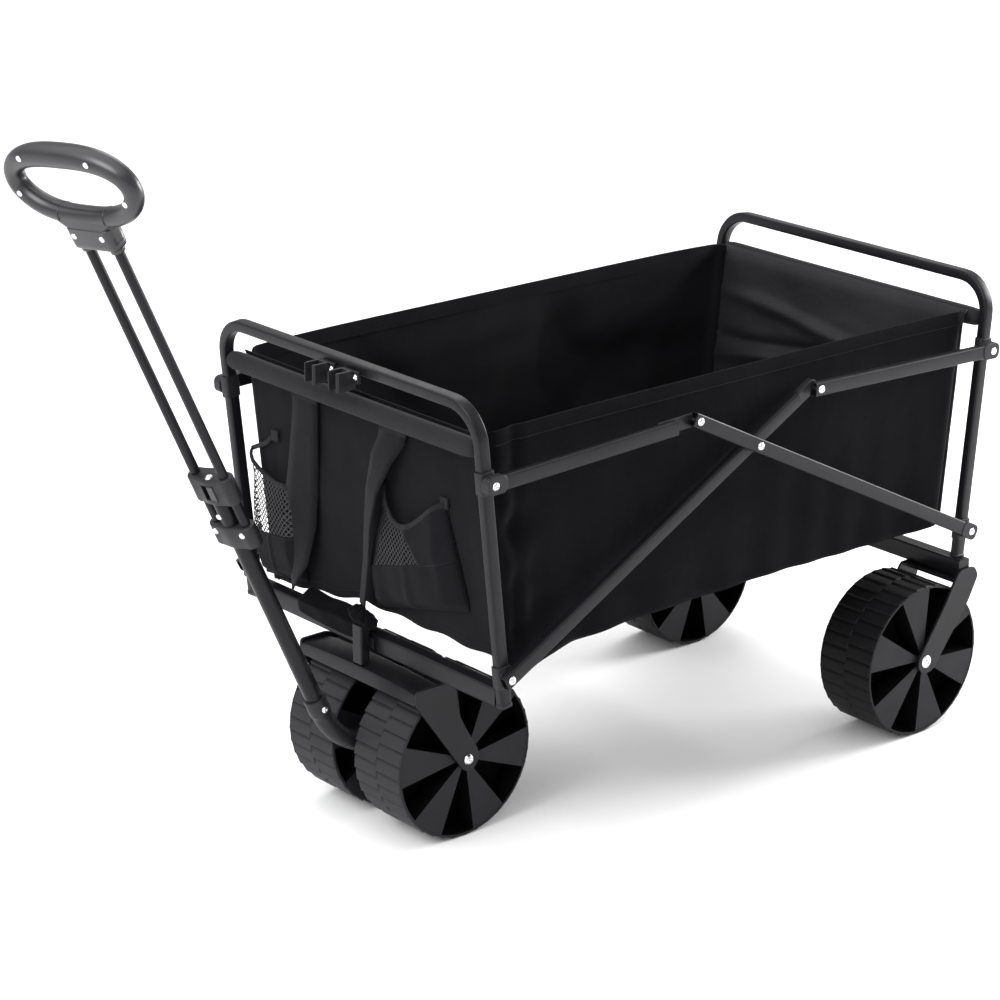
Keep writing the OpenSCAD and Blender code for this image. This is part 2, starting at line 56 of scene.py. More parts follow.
# ---------- driving dimensions, in metres and in the row frame unless at() adds MID ----------
MID = (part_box("floor_mat")[0].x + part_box("floor_mat")[1].x) / 2   # X of the wagon's middle
LEAN = radians(6)     # end frames, from upright
HALF = 0.401          # half the distance between lower pivots
PIVOT_Z, UPPER_Z, CROSS_Z = 0.271, 0.516, 0.4744   # lower and upper pivots on the legs, the bars' crossing
LEG_FOOT, TOP_Z, LEG_OUT = 0.232, 0.612, 0.2535   # end frame: foot, top and outer face
LEG_W, LEG_T, TOP_H = 0.016, 0.0125, 0.014        # its tube along X, across, and high at the top
BAR_H, BAR_T, BAR_IN = 0.018, 0.011, 0.256        # scissor bars: height, thickness, inner face
SLANT = radians(1.55)  # front bars, inward
TAIL = 0.259          # length of a bar past the crossing, over its length up to it
ROLL_Z, ROLL_R = 0.554, 0.0125
SIDE_Y = 0.2305
HEM_Z = 0.569
FLOOR_Z = 0.290
WHEEL_R, WHEEL_W = 0.105, 0.0895
FRONT_GAP, REAR_GAP = 0.0215, 0.1705
FRONT_AXLE, REAR_AXLE = -0.3432, 0.3235
POST_X = -0.4166
HANDLE_LEAN = radians(24.4)
TUBE_OFF = 0.099      # handle tube ahead of the axle
TWIN_Y = 0.023        # half the distance between the twin tubes
TURN = radians(11)     # turn of the handle about its own tube


def leg_x(z):
    """Distance of a leg's middle from the wagon's middle at height z."""
    return HALF + (z - PIVOT_Z) * tan(LEAN)


def at(x, y, z):
    """A point measured from the wagon's middle, in the row frame."""
    return Vector((x + MID, y, z))


# ---------- camera, floor and light ----------
def make_camera():
    data = bpy.data.cameras.new("camera")
    data.sensor_width = 36
    data.lens = 112.44
    data.shift_x = -0.0796
    data.shift_y = -0.0693
    data.clip_end = 50
    cam = bpy.data.objects.new("camera", data)
    forward = Vector((0.6353, 0.7093, -0.3055)).normalized()
    right0 = Vector((0.7449, -0.6671, 0)).normalized()
    up0 = right0.cross(forward)
    roll = 0.0095
    right = cos(roll) * right0 + sin(roll) * up0
    up = -sin(roll) * right0 + cos(roll) * up0
    turn = Matrix((right, up, -forward)).transposed().to_4x4()
    cam.matrix_world = Matrix.Translation(at(-2.5984, -2.8338, 1.6620)) @ turn
    bpy.context.scene.collection.objects.link(cam)
    bpy.context.scene.camera = cam


def light(name, kind, energy, aim, place=(0, 0, 0), **settings):
    """A light at a place, shining along aim."""
    data = bpy.data.lights.new(name, kind)
    data.energy = energy
    for key, value in settings.items():
        setattr(data, key, value)
    lamp = bpy.data.objects.new(name, data)
    lamp.location = place
    lamp.rotation_mode = "QUATERNION"
    lamp.rotation_quaternion = Vector(aim).to_track_quat("-Z", "Y")
    bpy.context.scene.collection.objects.link(lamp)


def area_light(name, place, target, size, power, **tall):
    light(name, "AREA", power, at(*target) - at(*place), at(*place), size=size, **tall)


def make_stage():
    mesh = bpy.data.meshes.new("floor")
    far = 30
    mesh.from_pydata([(-far, -far, 0), (far, -far, 0), (far, far, 0), (-far, far, 0)], [], [(0, 1, 2, 3)])
    floor = bpy.data.objects.new("floor", mesh)
    bpy.context.scene.collection.objects.link(floor)
    mesh.materials.append(plain("floor_paint", (0.93, 0.93, 0.93), 0.65))
    world = bpy.data.worlds.new("studio")
    world.use_nodes = True
    sky = world.node_tree.nodes["Background"].inputs
    sky["Color"].default_value = (1, 1, 1, 1)
    sky["Strength"].default_value = 0.56
    bpy.context.scene.world = world
    area_light("key", (-2.6, -0.3, 2.1), (-0.3, 0, 0.4), 1.5, 42, shape="RECTANGLE", size_y=1.2)
    area_light("back", (1.4, 1.6, 2.6), (0, 0, 0.4), 1.6, 22)
    area_light("fill", (2.8, -0.75, 1.3), (0.1, -0.65, 0), 1.6, 105, shape="RECTANGLE", size_y=1.0)
    light("soft_sun", "SUN", 2.7, (0.9, -0.15, -2.0), angle=radians(100))
    bpy.context.scene.view_settings.view_transform = "Standard"


# ---------- materials ----------
class Look:
    """A material's node tree. Inputs go by name or number, each a plain value or another node's output."""

    def __init__(self, name):
        self.mat = bpy.data.materials.new(name)
        self.mat.use_nodes = True
        self.tree = self.mat.node_tree
        self.coords = self.node("TexCoord", "Object")

    def feed(self, node, inputs):
        for key, value in inputs.items():
            if isinstance(value, bpy.types.NodeSocket):
                self.tree.links.new(value, node.inputs[key])
            else:
                node.inputs[key].default_value = value

    def node(self, kind, output, inputs=None, **settings):
        """The chosen output of a new node."""
        node = self.tree.nodes.new("ShaderNode" + kind)
        for key, value in settings.items():
            setattr(node, key, value)
        self.feed(node, inputs or {})
        return node.outputs[output]

    def shade(self, inputs):
        """Feeds the surface shader and returns the material."""
        self.feed(self.tree.nodes["Principled BSDF"], inputs)
        return self.mat

    def maths(self, operation, *values):
        return self.node("Math", 0, dict(enumerate(values)), operation=operation)

    def axes(self, vector):
        return [self.node("SeparateXYZ", axis, {"Vector": vector}) for axis in "XYZ"]

    def patches(self, scale, detail=3):
        """Noise across the piece."""
        return self.node("TexNoise", "Fac", {"Scale": scale, "Detail": detail, "Vector": self.coords})

    def ramp(self, value, low, high):
        """The middle part of a noise value spread over low to high."""
        return self.node("MapRange", "Result", {"Value": value, "From Min": 0.3, "From Max": 0.7,
                                                "To Min": low, "To Max": high})

    def drift(self, scale, dark, light):
        """A colour that wanders between two shades."""
        factor = self.ramp(self.patches(scale), 0, 1)
        shades = {"A": (*dark, 1), "B": (*light, 1), "Factor": factor}
        return self.node("Mix", "Result", shades, data_type="RGBA")

    def bump(self, height, strength, distance, **below):
        relief = {"Strength": strength, "Distance": distance, "Height": height}
        return self.node("Bump", "Normal", {**relief, **below})


def tint(grey, blue):
    """A near black with its own amount of blue."""
    return grey, grey, blue


def plain(name, colour, rough):
    return Look(name).shade({"Base Color": (*colour, 1), "Roughness": rough})


def moulded(name, dark, light, rough, grain=900, grain_depth=0.00012, patch=14, gloss=0.3):
    """Painted steel or moulded plastic: slight colour drift, fine grain, uneven gloss."""
    look = Look(name)
    return look.shade({"Base Color": look.drift(patch, tint(*dark), tint(*light)),
                       "Roughness": look.ramp(look.patches(patch * 4), *rough),
                       "Normal": look.bump(look.patches(grain, 1), 0.35, grain_depth),
                       "Specular IOR Level": gloss})


def woven(name, dark, light, pitch=0.0016, depth=0.00022, rough=0.85, sheen=0.03, gloss=0.12):
    """Woven cloth: crossed thread waves, a little colour drift and creasing."""
    look = Look(name)
    x, y, z = [look.maths("SINE", look.maths("MULTIPLY", axis, 2 * pi / pitch))
               for axis in look.axes(look.coords)]
    weave = look.maths("MULTIPLY", look.maths("ADD", x, y), z)
    crease = look.bump(look.patches(16, 2), 0.5, 0.004)
    return look.shade({"Base Color": look.drift(9, tint(*dark), tint(*light)), "Roughness": rough,
                       "Normal": look.bump(weave, 0.5, depth, Normal=crease), "Specular IOR Level": gloss,
                       "Sheen Weight": sheen, "Sheen Roughness": 0.4})


def netting(name, mesh=0.0046, cord=0.13):
    """Open net: diagonal cords with holes cut by alpha, in the plane of Y and Z."""
    look = Look(name)
    squeezed = look.node("VectorMath", "Vector", {0: look.coords, 1: (0, 1, 0.8)}, operation="MULTIPLY")
    turned = look.node("VectorRotate", "Vector", {"Vector": squeezed, "Angle": radians(45)},
                       rotation_type="X_AXIS")
    cells = [look.maths("PINGPONG", look.maths("MULTIPLY", axis, 1 / mesh), 0.5)
             for axis in look.axes(turned)[1:]]
    return look.shade({"Alpha": look.maths("LESS_THAN", look.maths("MINIMUM", *cells), cord),
                       "Base Color": look.drift(40, tint(0.0100, 0.0115), tint(0.0220, 0.0245)),
                       "Roughness": 0.7})


def zinc(name):
    look = Look(name)
    return look.shade({"Metallic": 1.0, "Base Color": look.drift(160, (0.72, 0.73, 0.75), (0.9, 0.9, 0.9)),
                       "Roughness": look.ramp(look.patches(500), 0.22, 0.38)})


STEEL = moulded("powder_coat", (0.0048, 0.0064), (0.0078, 0.0100), (0.32, 0.42), 1100, 0.00008, gloss=0.22)
PLASTIC = moulded("moulded_plastic", (0.0085, 0.0105), (0.013, 0.0158), (0.42, 0.54), 700)
GRIP = moulded("grip_plastic", (0.0095, 0.0118), (0.0145, 0.0175), (0.30, 0.38), 1500, 0.00015, gloss=0.6)
WHEEL = moulded("wheel_plastic", (0.0155, 0.0180), (0.0215, 0.0245), (0.48, 0.6), 500, 0.00015, 8, 0.2)
# wheel plastic made darker: painted shadow on the rear treads, which sit in the shade of the basket
REAR_SHADED_TREAD = moulded("rear_shaded_tread", (0.0042, 0.0050), (0.0070, 0.0080), (0.48, 0.6), 500, 0.00015, 8, 0.15)
# wheel plastic made darker: painted shade on the wheels' flat sides, which face away from the light
WHEEL_SHADED_FACE = moulded("wheel_shaded_face", (0.0082, 0.0102), (0.0118, 0.0142), (0.48, 0.6), 500, 0.00015, 8, 0.2)
# near-black plastic: painted shade inside the wheel pockets and behind the handle latch
RECESS_SHADE = moulded("painted_recess_shade", (0.0015, 0.0016), (0.003, 0.003), (0.7, 0.8), 500, 0.0001, 8, 0.05)
CLOTH = woven("basket_cloth", (0.0036, 0.0050), (0.0068, 0.0088), gloss=0.10)
# basket cloth made darker: painted shade for the near side wall and its hem, which face away from the light,
# and for the front flap and post bundle
SHADED_CLOTH = woven("shaded_cloth", (0.0016, 0.0026), (0.0032, 0.0046), gloss=0.055)
# basket cloth made lighter: painted light on the inside of the rear panel, which faces the light; its lower
# roughness and higher gloss bring out the folds
REAR_LIT_CLOTH = woven("rear_lit_cloth", (0.0060, 0.0082), (0.0110, 0.0140), rough=0.55, gloss=0.28)
# basket cloth made lighter: painted light on the padded rolls along the top bars
ROLL_LIT_CLOTH = woven("roll_lit_cloth", (0.0118, 0.0138), (0.0165, 0.0190), gloss=0.2)
BINDING = woven("binding_tape", (0.0055, 0.0068), (0.0090, 0.0106), 0.0012, 0.0003, 0.8, 0.05, 0.2)
WEBBING = woven("webbing", (0.0048, 0.0062), (0.0080, 0.0100), 0.0022, 0.0004, 0.75, 0.05, 0.1)
NET = netting("pocket_net")
THREAD = plain("thread", (0.007, 0.007, 0.009), 0.8)
ZINC = zinc("zinc")


# ---------- mesh helpers ----------
def add(name, shape, body, mat, smooth=True, node=None, split=None, bevel=None):
    """A new piece from (points, faces), riding on a body and standing for a CAD node. split is the angle from
    which its edges shade sharp, and bevel the (width, segments) that rounds them."""
    verts, faces = shape
    mesh = bpy.data.meshes.new(name)
    mesh.from_pydata([tuple(v) for v in verts], [], faces)
    mesh.validate()
    obj = bpy.data.objects.new(name, mesh)
    bpy.context.scene.collection.objects.link(obj)
    work = bmesh.new()
    work.from_mesh(mesh)
    bmesh.ops.recalc_face_normals(work, faces=work.faces)
    work.to_mesh(mesh)
    work.free()
    for face in mesh.polygons:
        face.use_smooth = smooth
    mesh.materials.append(mat)
    if body:
        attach(obj, body)
    if node:
        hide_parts(node)
    if split:
        modify(obj, "EDGE_SPLIT", split_angle=radians(split))
    if bevel:
        modify(obj, "BEVEL", width=bevel[0], segments=bevel[1], limit_method="ANGLE",
               angle_limit=radians(40), harden_normals=False)
    return obj


def modify(obj, kind, **values):
    mod = obj.modifiers.new(kind.lower(), kind)
    for key, value in values.items():
        setattr(mod, key, value)


def rounded_rect(w, h, r, n=4):
    """Closed outline of a rectangle with round corners."""
    points = []
    for cx, cy, start in ((w / 2 - r, h / 2 - r, 0), (-w / 2 + r, h / 2 - r, 90),
                          (-w / 2 + r, -h / 2 + r, 180), (w / 2 - r, -h / 2 + r, 270)):
        for k in range(n + 1):
            a = radians(start + 90 * k / n)
            points.append((cx + r * cos(a), cy + r * sin(a)))
    return points


def circle(r, n=24, squash=1.0):
    return [(r * cos(2 * pi * k / n), r * squash * sin(2 * pi * k / n)) for k in range(n)]


def skin(rows, cols, wrap=False, closed=False):
    """Faces between rows of cols points; wrap joins a row's ends, closed the last row to the first."""
    return [(i * cols + j, i * cols + (j + 1) % cols,
             (i + 1) % rows * cols + (j + 1) % cols, (i + 1) % rows * cols + j)
            for i in range(rows if closed else rows - 1) for j in range(cols if wrap else cols - 1)]


def ends(rows, cols):
    """Flat faces on the first and last row."""
    return [tuple(reversed(range(cols))), tuple(range((rows - 1) * cols, rows * cols))]


def slab(n):
    """Faces of two outlines of n points and the rim between them."""
    return [tuple(range(n)), tuple(range(2 * n - 1, n - 1, -1))] + [
        (k, (k + 1) % n, n + (k + 1) % n, n + k) for k in range(n)]


def sweep(stations, closed=False):
    """Skin through stations (centre, side, up, outline). Returns points and faces, with flat ends."""
    rows, cols = len(stations), len(stations[0][3])
    verts = [centre + side * a + up * b for centre, side, up, outline in stations for a, b in outline]
    return verts, skin(rows, cols, True, closed) + ([] if closed else ends(rows, cols))


def square_to(along, side=Y_AXIS):
    """Side turned square to along, and the direction square to both."""
    side = (side - along * side.dot(along)).normalized()
    return side, along.cross(side)


def straight(start, end, side, outline):
    side, up = square_to((end - start).normalized(), side)
    return sweep([(start, side, up, outline), (end, side, up, outline)])


def prism(outline, y0, y1):
    """Flat outline in X and Z given thickness along Y."""
    return [at(a, y, b) for y in (y0, y1) for a, b in outline], slab(len(outline))


def join(parts):
    """Several (points, faces) as one."""
    verts, faces = [], []
    for v, f in parts:
        shift = len(verts)
        verts += v
        faces += [tuple(shift + i for i in face) for face in f]
    return verts, faces


def block(lo, hi, place=at):
    (x0, y0, z0), (x1, y1, z1) = lo, hi
    verts = [place(x, y, z) for z in (z0, z1) for y in (y0, y1) for x in (x0, x1)]
    return verts, [(0, 2, 3, 1), (4, 5, 7, 6), (0, 1, 5, 4), (2, 6, 7, 3), (0, 4, 6, 2), (1, 3, 7, 5)]


def lathe(profile, centre, axis, steps=32):
    """Turned shape: profile of (distance along the axis, radius)."""
    axis = axis.normalized()
    u = (Z_AXIS - axis * Z_AXIS.dot(axis)).normalized()
    v = axis.cross(u)
    verts = []
    for d, r in profile:
        for k in range(steps):
            a = 2 * pi * k / steps
            verts.append(centre + axis * d + (u * cos(a) + v * sin(a)) * max(r, 1e-6))
    return verts, skin(len(profile), steps, True) + ends(len(profile), steps)


def rod(r, start, end, centre, axis, steps):
    """Plain round rod from start to end along the axis."""
    return lathe([(start, r), (end, r)], centre, axis, steps)


def screw(centre, axis, r=0.0052, h=0.0028):
    """Domed screw head with a flange and a shallow recess."""
    dome = [(-0.0005, r), (0.0005, r), (0.0008, r * 0.93), (h * 0.55, r * 0.86), (h * 0.8, r * 0.7),
            (h, r * 0.5), (h, r * 0.36), (h * 0.45, r * 0.33), (h * 0.45, 0)]
    return lathe(dome, centre, axis, 24)


# ---------- end frames ----------
def leg_plane(direction):
    """Origin at the legs' foot, unit vectors up the leg and outward across it."""
    lean = direction * LEAN
    return (at(direction * leg_x(LEG_FOOT), 0, LEG_FOOT),
            Vector((sin(lean), 0, cos(lean))), Vector((cos(lean), 0, -sin(lean))))


def end_frame(direction, body):
    name = "rear" if direction > 0 else "front"
    foot, up, out = leg_plane(direction)
    length = (TOP_Z - LEG_FOOT) / cos(LEAN)
    half = LEG_OUT - LEG_T / 2
    bend = 0.052 - LEG_T / 2
    path = [(-half, 0), (-half, length * 0.5)]
    crown = length - TOP_H / 2 - bend
    path += [(-half + bend - bend * cos(radians(a)), crown + bend * sin(radians(a))) for a in range(0, 91, 9)]
    path += [(-y, v) for y, v in reversed(path)]
    stations = []
    for i, (y, v) in enumerate(path):
        before, after = path[max(i - 1, 0)], path[min(i + 1, len(path) - 1)]
        if i in (1, 2):
            before, after = (0, 0), (0, 1)
        if i in (len(path) - 2, len(path) - 3):
            before, after = (0, 1), (0, 0)
        tangent = (Y_AXIS * (after[0] - before[0]) + up * (after[1] - before[1])).normalized()
        if i == 12 or i == len(path) - 13:
            tangent = Y_AXIS
        inward = out.cross(tangent).normalized()
        level = abs(tangent.dot(Y_AXIS))
        thick = LEG_T + (TOP_H - LEG_T) * level
        stations.append((foot + Y_AXIS * y + up * v, inward, out, rounded_rect(thick, LEG_W, 0.0028)))
    add(f"{name}_tube", sweep(stations), body, STEEL, node=f"{name}_tube_frame", split=50)
    feet = []
    for s in (-1, 1):
        foot_middle = foot + Y_AXIS * (s * half)
        feet.append(straight(foot_middle - up * 0.0006, foot_middle + up * 0.004, Y_AXIS,
                             rounded_rect(LEG_T + 0.0012, LEG_W + 0.0012, 0.003)))
    add(f"{name}_foot_caps", join(feet), body, PLASTIC)


def pivot_plates(direction, body):
    """Plastic plates wrapped round the legs at the pivots, with a raised round boss, and the pivot screws."""
    name = "rear" if direction > 0 else "front"
    _, up, _ = leg_plane(direction)
    parts, heads, pins = [], [], []
    for z in (PIVOT_Z, UPPER_Z):
        middle = at(direction * leg_x(z), 0, z)
        for s in (-1, 1):
            across = Vector((0, s, 0))
            centre = middle + across * (LEG_OUT - LEG_T / 2 + 0.0006)
            parts.append(straight(centre - up * 0.014, centre + up * 0.014, across,
                                  rounded_rect(LEG_T + 0.0018, LEG_W + 0.005, 0.0035)))
            parts.append(lathe([(0, 0.0098), (0.0022, 0.0098), (0.0025, 0.0092), (0.0025, 0)],
                               middle + across * (LEG_OUT - 0.0002), across, 28))
            heads.append(screw(middle + across * (BAR_IN + BAR_T + 0.0002), across))
            pins.append(rod(0.003, -0.014, 0, middle + across * (BAR_IN + BAR_T), across, 16))
    add(f"{name}_plates", join(parts), body, PLASTIC, node=f"{name}_brackets", bevel=(0.0008, 2))
    add(f"{name}_pivot_screws", join(heads + pins), body, ZINC, node=f"{name}_pivot_pins")


# ---------- scissors and links ----------
CROSS_LEN = hypot(HALF, CROSS_Z - PIVOT_Z)
BAR_LEN = CROSS_LEN * (1 + TAIL)
TILT = atan2(CROSS_Z - PIVOT_Z, HALF)
TAIL_X = HALF - BAR_LEN * cos(TILT)
TAIL_Z = PIVOT_Z + BAR_LEN * sin(TILT)
UPPER_X = HALF + (UPPER_Z - PIVOT_Z) * tan(LEAN)
BAR_Y = BAR_IN + BAR_T / 2


def tube_between(a, b, wall=0.0013, depth=0.012):
    """Rectangular tube from a to b with open ends, its wide faces to the sides."""
    along = (b - a).normalized()
    side, up = square_to(along)
    outer = rounded_rect(BAR_T, BAR_H, 0.0024)
    inner = rounded_rect(BAR_T - 2 * wall, BAR_H - 2 * wall, 0.0014)
    rings = ((a + along * depth, inner), (a, inner), (a, outer),
             (b, outer), (b, inner), (b - along * depth, inner))
    return sweep([(centre, side, up, outline) for centre, outline in rings])


def tongue(start, end, length_in, thick, height):
    """Flat plastic tongue with a round nose at end, seen from the side."""
    along = (end - start).normalized()
    side, up = square_to(along)
    outline = [(-length_in, -height / 2)]
    outline += [(height / 2 * sin(radians(a)), -height / 2 * cos(radians(a))) for a in range(0, 181, 12)]
    outline += [(-length_in, height / 2)]
    verts = [end + side * s + along * a + up * b for s in (-thick / 2, thick / 2) for a, b in outline]
    return verts, slab(len(outline))


def link_cap(body, hinge, along):
    """Rounded plastic cap over a bar's end at its frame pivot."""
    half = BAR_T / 2 + 0.0009
    middle = hinge + along * 0.0035
    outline = rounded_rect(0.030, 0.0215, 0.0075, 6)
    shape = sweep([(middle + Y_AXIS * y, along, along.cross(Y_AXIS), outline) for y in (-half, half)])
    add(f"{body}_cap", shape, body, PLASTIC, smooth=False, bevel=(0.0012, 3))


def arm(body, a, b, nose, round_by, tip_node=None):
    """Steel bar from a to b, and the plastic tongue of tongue() in its end."""
    add(body, tube_between(a, b), body, STEEL, node=body, split=50)
    add(f"{body}_tongue", tongue(*nose), body, PLASTIC, smooth=False, node=tip_node, bevel=(round_by, 3))


def side_pieces(s, side):
    """Bars, links and screws of one side; s is -1 near and 1 far."""
    out = Vector((0, s, 0))
    face = s * (BAR_IN + BAR_T)

    body = f"rear_bar_{side}"
    rear_low, front_end = at(HALF, s * BAR_Y, PIVOT_Z), at(TAIL_X, s * BAR_Y, TAIL_Z)
    along = (front_end - rear_low).normalized()
    link_cap(body, rear_low, along)
    arm(body, rear_low + along * 0.017, front_end + along * 0.009,
        (front_end, rear_low, 0.030, 0.0098, 0.0165), 0.0012, f"{body}_tip")
    cross, tail = at(0, face, CROSS_Z), at(TAIL_X, face, TAIL_Z)
    parts = [screw(cross, out), screw(tail, out), rod(0.003, -0.022, 0, cross, out, 16),
             rod(0.0048, -0.0250, -0.0232, cross, out, 6), rod(0.003, -0.012, 0, tail, out, 16)]
    add(f"scissor_screws_{side}", join(parts), body, ZINC, node=f"scissor_pins_{side}")

    body = f"front_bar_{side}"
    front_low = at(-HALF, s * BAR_Y, PIVOT_Z)
    run = Vector((cos(TILT) * cos(SLANT), -s * sin(SLANT), sin(TILT) * cos(SLANT))).normalized()
    end = front_low + run * BAR_LEN
    arm(body, front_low - run * 0.009, end - run * 0.024, (front_low, end, 0.040, 0.0098, 0.0175),
        0.0012, f"{body}_tip")

    body = f"front_link_{side}"
    hinge, stop = at(-UPPER_X, s * BAR_Y, UPPER_Z), at(TAIL_X, s * BAR_Y, TAIL_Z)
    along = (stop - hinge).normalized()
    inner = Vector((0, -s * (BAR_T / 2 + 0.0025), 0))
    arm(body, hinge - along * 0.009, stop - along * 0.036,
        (hinge + inner, stop + inner, 0.058, 0.0032, 0.0175), 0.0008)
    link_cap(body, hinge, along)

    body = f"rear_link_{side}"
    hinge, stop = at(UPPER_X, s * BAR_Y, UPPER_Z), at(-TAIL_X, s * BAR_Y, TAIL_Z)
    along = (stop - hinge).normalized()
    link_cap(body, hinge, along)
    arm(body, hinge + along * 0.017, stop + along * 0.009, (stop, hinge, 0.030, 0.0098, 0.0165), 0.0012)
    tail = at(-TAIL_X, face, TAIL_Z)
    add(f"rear_link_screw_{side}", join([screw(tail, out), rod(0.003, -0.011, 0, tail, out, 16)]), body, ZINC,
        node=f"{body}_screw")


# ---------- wheels ----------
LUGS, LUG_STEPS = 36, 8
RIM, HUB, RIM_LIP = 0.1022, 0.009, 0.0018
FACE_IN, POCKET_IN = 0.0004, 0.034     # depth of the flat sectors and of the pockets


def tread(x, y0, turn):
    """Two staggered columns of brick lugs."""
    n = LUGS * LUG_STEPS
    parts = []
    for column in (0, 1):
        lo = y0 + column * WHEEL_W / 2
        hi = lo + WHEEL_W / 2
        rings = ((lo, -0.0016), (lo + 0.0016, 0), (hi - (0.0016 if column else 0.0006), 0),
                 (hi, -0.0016 if column else 0))
        verts = []
        for y, drop in rings:
            for k in range(n):
                a = 2 * pi * (k / n + (0.5 / LUGS if column else 0))
                place = k % LUG_STEPS
                groove = -0.0022 * (1 - place / LUG_STEPS) if place else -0.0036
                r = WHEEL_R + groove + drop
                verts.append(at(x + r * cos(a + turn), y, WHEEL_R + r * sin(a + turn)))
        parts.append((verts, skin(len(rings), n, True)))
    return join(parts)


def wheel(name, x, y0, turn, tread_mat=WHEEL):
    """Moulded wheel with six flat sectors between six deep pockets on each side; the pocket surfaces are near
    black: painted shade in the recesses.
    """
    add(f"{name}_tread", tread(x, y0, turn), name, tread_mat, split=32)
    flats, pockets = [], []
    radii = [HUB, 0.03, 0.05, 0.075, RIM - RIM_LIP]
    span, steps = radians(30), 8
    for y, inward in ((y0, 1), (y0 + WHEEL_W, -1)):
        def point(r, a, depth):
            return at(x + r * cos(a), y + inward * depth, WHEEL_R + r * sin(a))

        def sector(base, depth):
            verts = [point(r, base + span * j / steps, depth) for r in radii for j in range(steps + 1)]
            return verts, skin(len(radii), steps + 1)

        for k in range(6):
            base = radians(60 * k - 15) + turn
            flats.append(sector(base, FACE_IN))
            base += span
            pockets.append(sector(base, POCKET_IN))
            for a in (base, base + span):
                wall = [point(r, a, d) for d in (FACE_IN, POCKET_IN) for r in radii]
                pockets.append((wall, skin(2, len(radii))))
            for r in (HUB, RIM - RIM_LIP):
                wall = [point(r, base + span * j / steps, d)
                        for d in (FACE_IN, POCKET_IN) for j in range(steps + 1)]
                pockets.append((wall, skin(2, steps + 1)))
        n = 96
        lip = ((RIM - RIM_LIP, FACE_IN), (RIM - 0.002, 0), (RIM + 0.0008, 0.0003))
        flats.append(([point(r, 2 * pi * k / n, d) for r, d in lip for k in range(n)], skin(3, n, True)))
        hub = [(0.0012, HUB + 0.0015), (0.0002, HUB), (0.0002, 0.0052)]
        flats.append(lathe(hub, at(x, y, WHEEL_R), Vector((0, inward, 0)), 36))
    # the flat sides, rim lip and hub take the darker plastic: painted shade
    add(f"{name}_faces", join(flats), name, WHEEL_SHADED_FACE, smooth=False, node=name)
    # near-black pocket walls and floors: painted shade in the recesses
    add(f"{name}_pockets", join(pockets), name, RECESS_SHADE, smooth=False)


def all_wheels():
    wheel("wheel_front_near", FRONT_AXLE, -FRONT_GAP - WHEEL_W, radians(-7.5))
    wheel("wheel_front_far", FRONT_AXLE, FRONT_GAP, radians(-12))
    # rear treads take the darker plastic: painted shadow from the basket
    wheel("wheel_rear_near", REAR_AXLE, -REAR_GAP - WHEEL_W, radians(-19.5), REAR_SHADED_TREAD)
    wheel("wheel_rear_far", REAR_AXLE, REAR_GAP, radians(-5), REAR_SHADED_TREAD)


# ---------- rails, forks and truck ----------
def cross_rail(name, body, x, z, half, height):
    add(f"{name}_tube", straight(at(x, -half, z), at(x, half, z), X_AXIS, rounded_rect(0.020, height, 0.003)),
        body, STEEL, node=name, split=50)


def rails():
    cross_rail("rear_rail", REAR, leg_x(0.207) + 0.001, 0.2195, REAR_GAP + WHEEL_W + 0.0022, 0.025)
    cross_rail("front_rail", FRONT, -0.396, 0.242, LEG_OUT - LEG_T, 0.024)
    foot, top = at(POST_X, 0, 0.2165), at(POST_X, 0, 0.2665)
    post = [straight(foot, top, X_AXIS, rounded_rect(0.014, 0.018, 0.0022)),
            block((-0.4106, -0.016, 0.236), (-0.4060, 0.016, 0.250)),
            lathe([(0, 0.0098), (0.003, 0.0098), (0.003, 0.0049), (0.0080, 0.0049)], foot, -Z_AXIS, 24)]
    add("front_post_tube", join(post), FRONT, STEEL, smooth=False, node="front_post", bevel=(0.0006, 2))


def rounded_outline(points, r, n=4):
    """Closed outline with each corner cut by an arc of about radius r."""
    out = []
    count = len(points)
    for i, p in enumerate(points):
        p = Vector(p)
        a, b = Vector(points[i - 1]) - p, Vector(points[(i + 1) % count]) - p
        cut = min(r, a.length * 0.45, b.length * 0.45)
        start, end = p + a.normalized() * cut, p + b.normalized() * cut
        for k in range(n + 1):
            t = k / n
            out.append(((1 - t) ** 2 * start + 2 * t * (1 - t) * p + t ** 2 * end)[:])
    return out


FORK = [(0.372, 0.202), (0.383, 0.219), (0.413, 0.219), (0.421, 0.205), (0.403, 0.172), (0.341, 0.093),
        (0.333, 0.088), (0.322, 0.088), (0.314, 0.092), (0.309, 0.100), (0.310, 0.110), (0.359, 0.180)]
TRUCK_ARM = [(-0.424, 0.2149), (-0.382, 0.2149), (-0.363, 0.206), (-0.361, 0.175), (-0.345, 0.144),
             (-0.328, 0.116), (-0.326, 0.104), (-0.331, 0.093), (-0.341, 0.088), (-0.351, 0.092),
             (-0.418, 0.186), (-0.424, 0.196)]


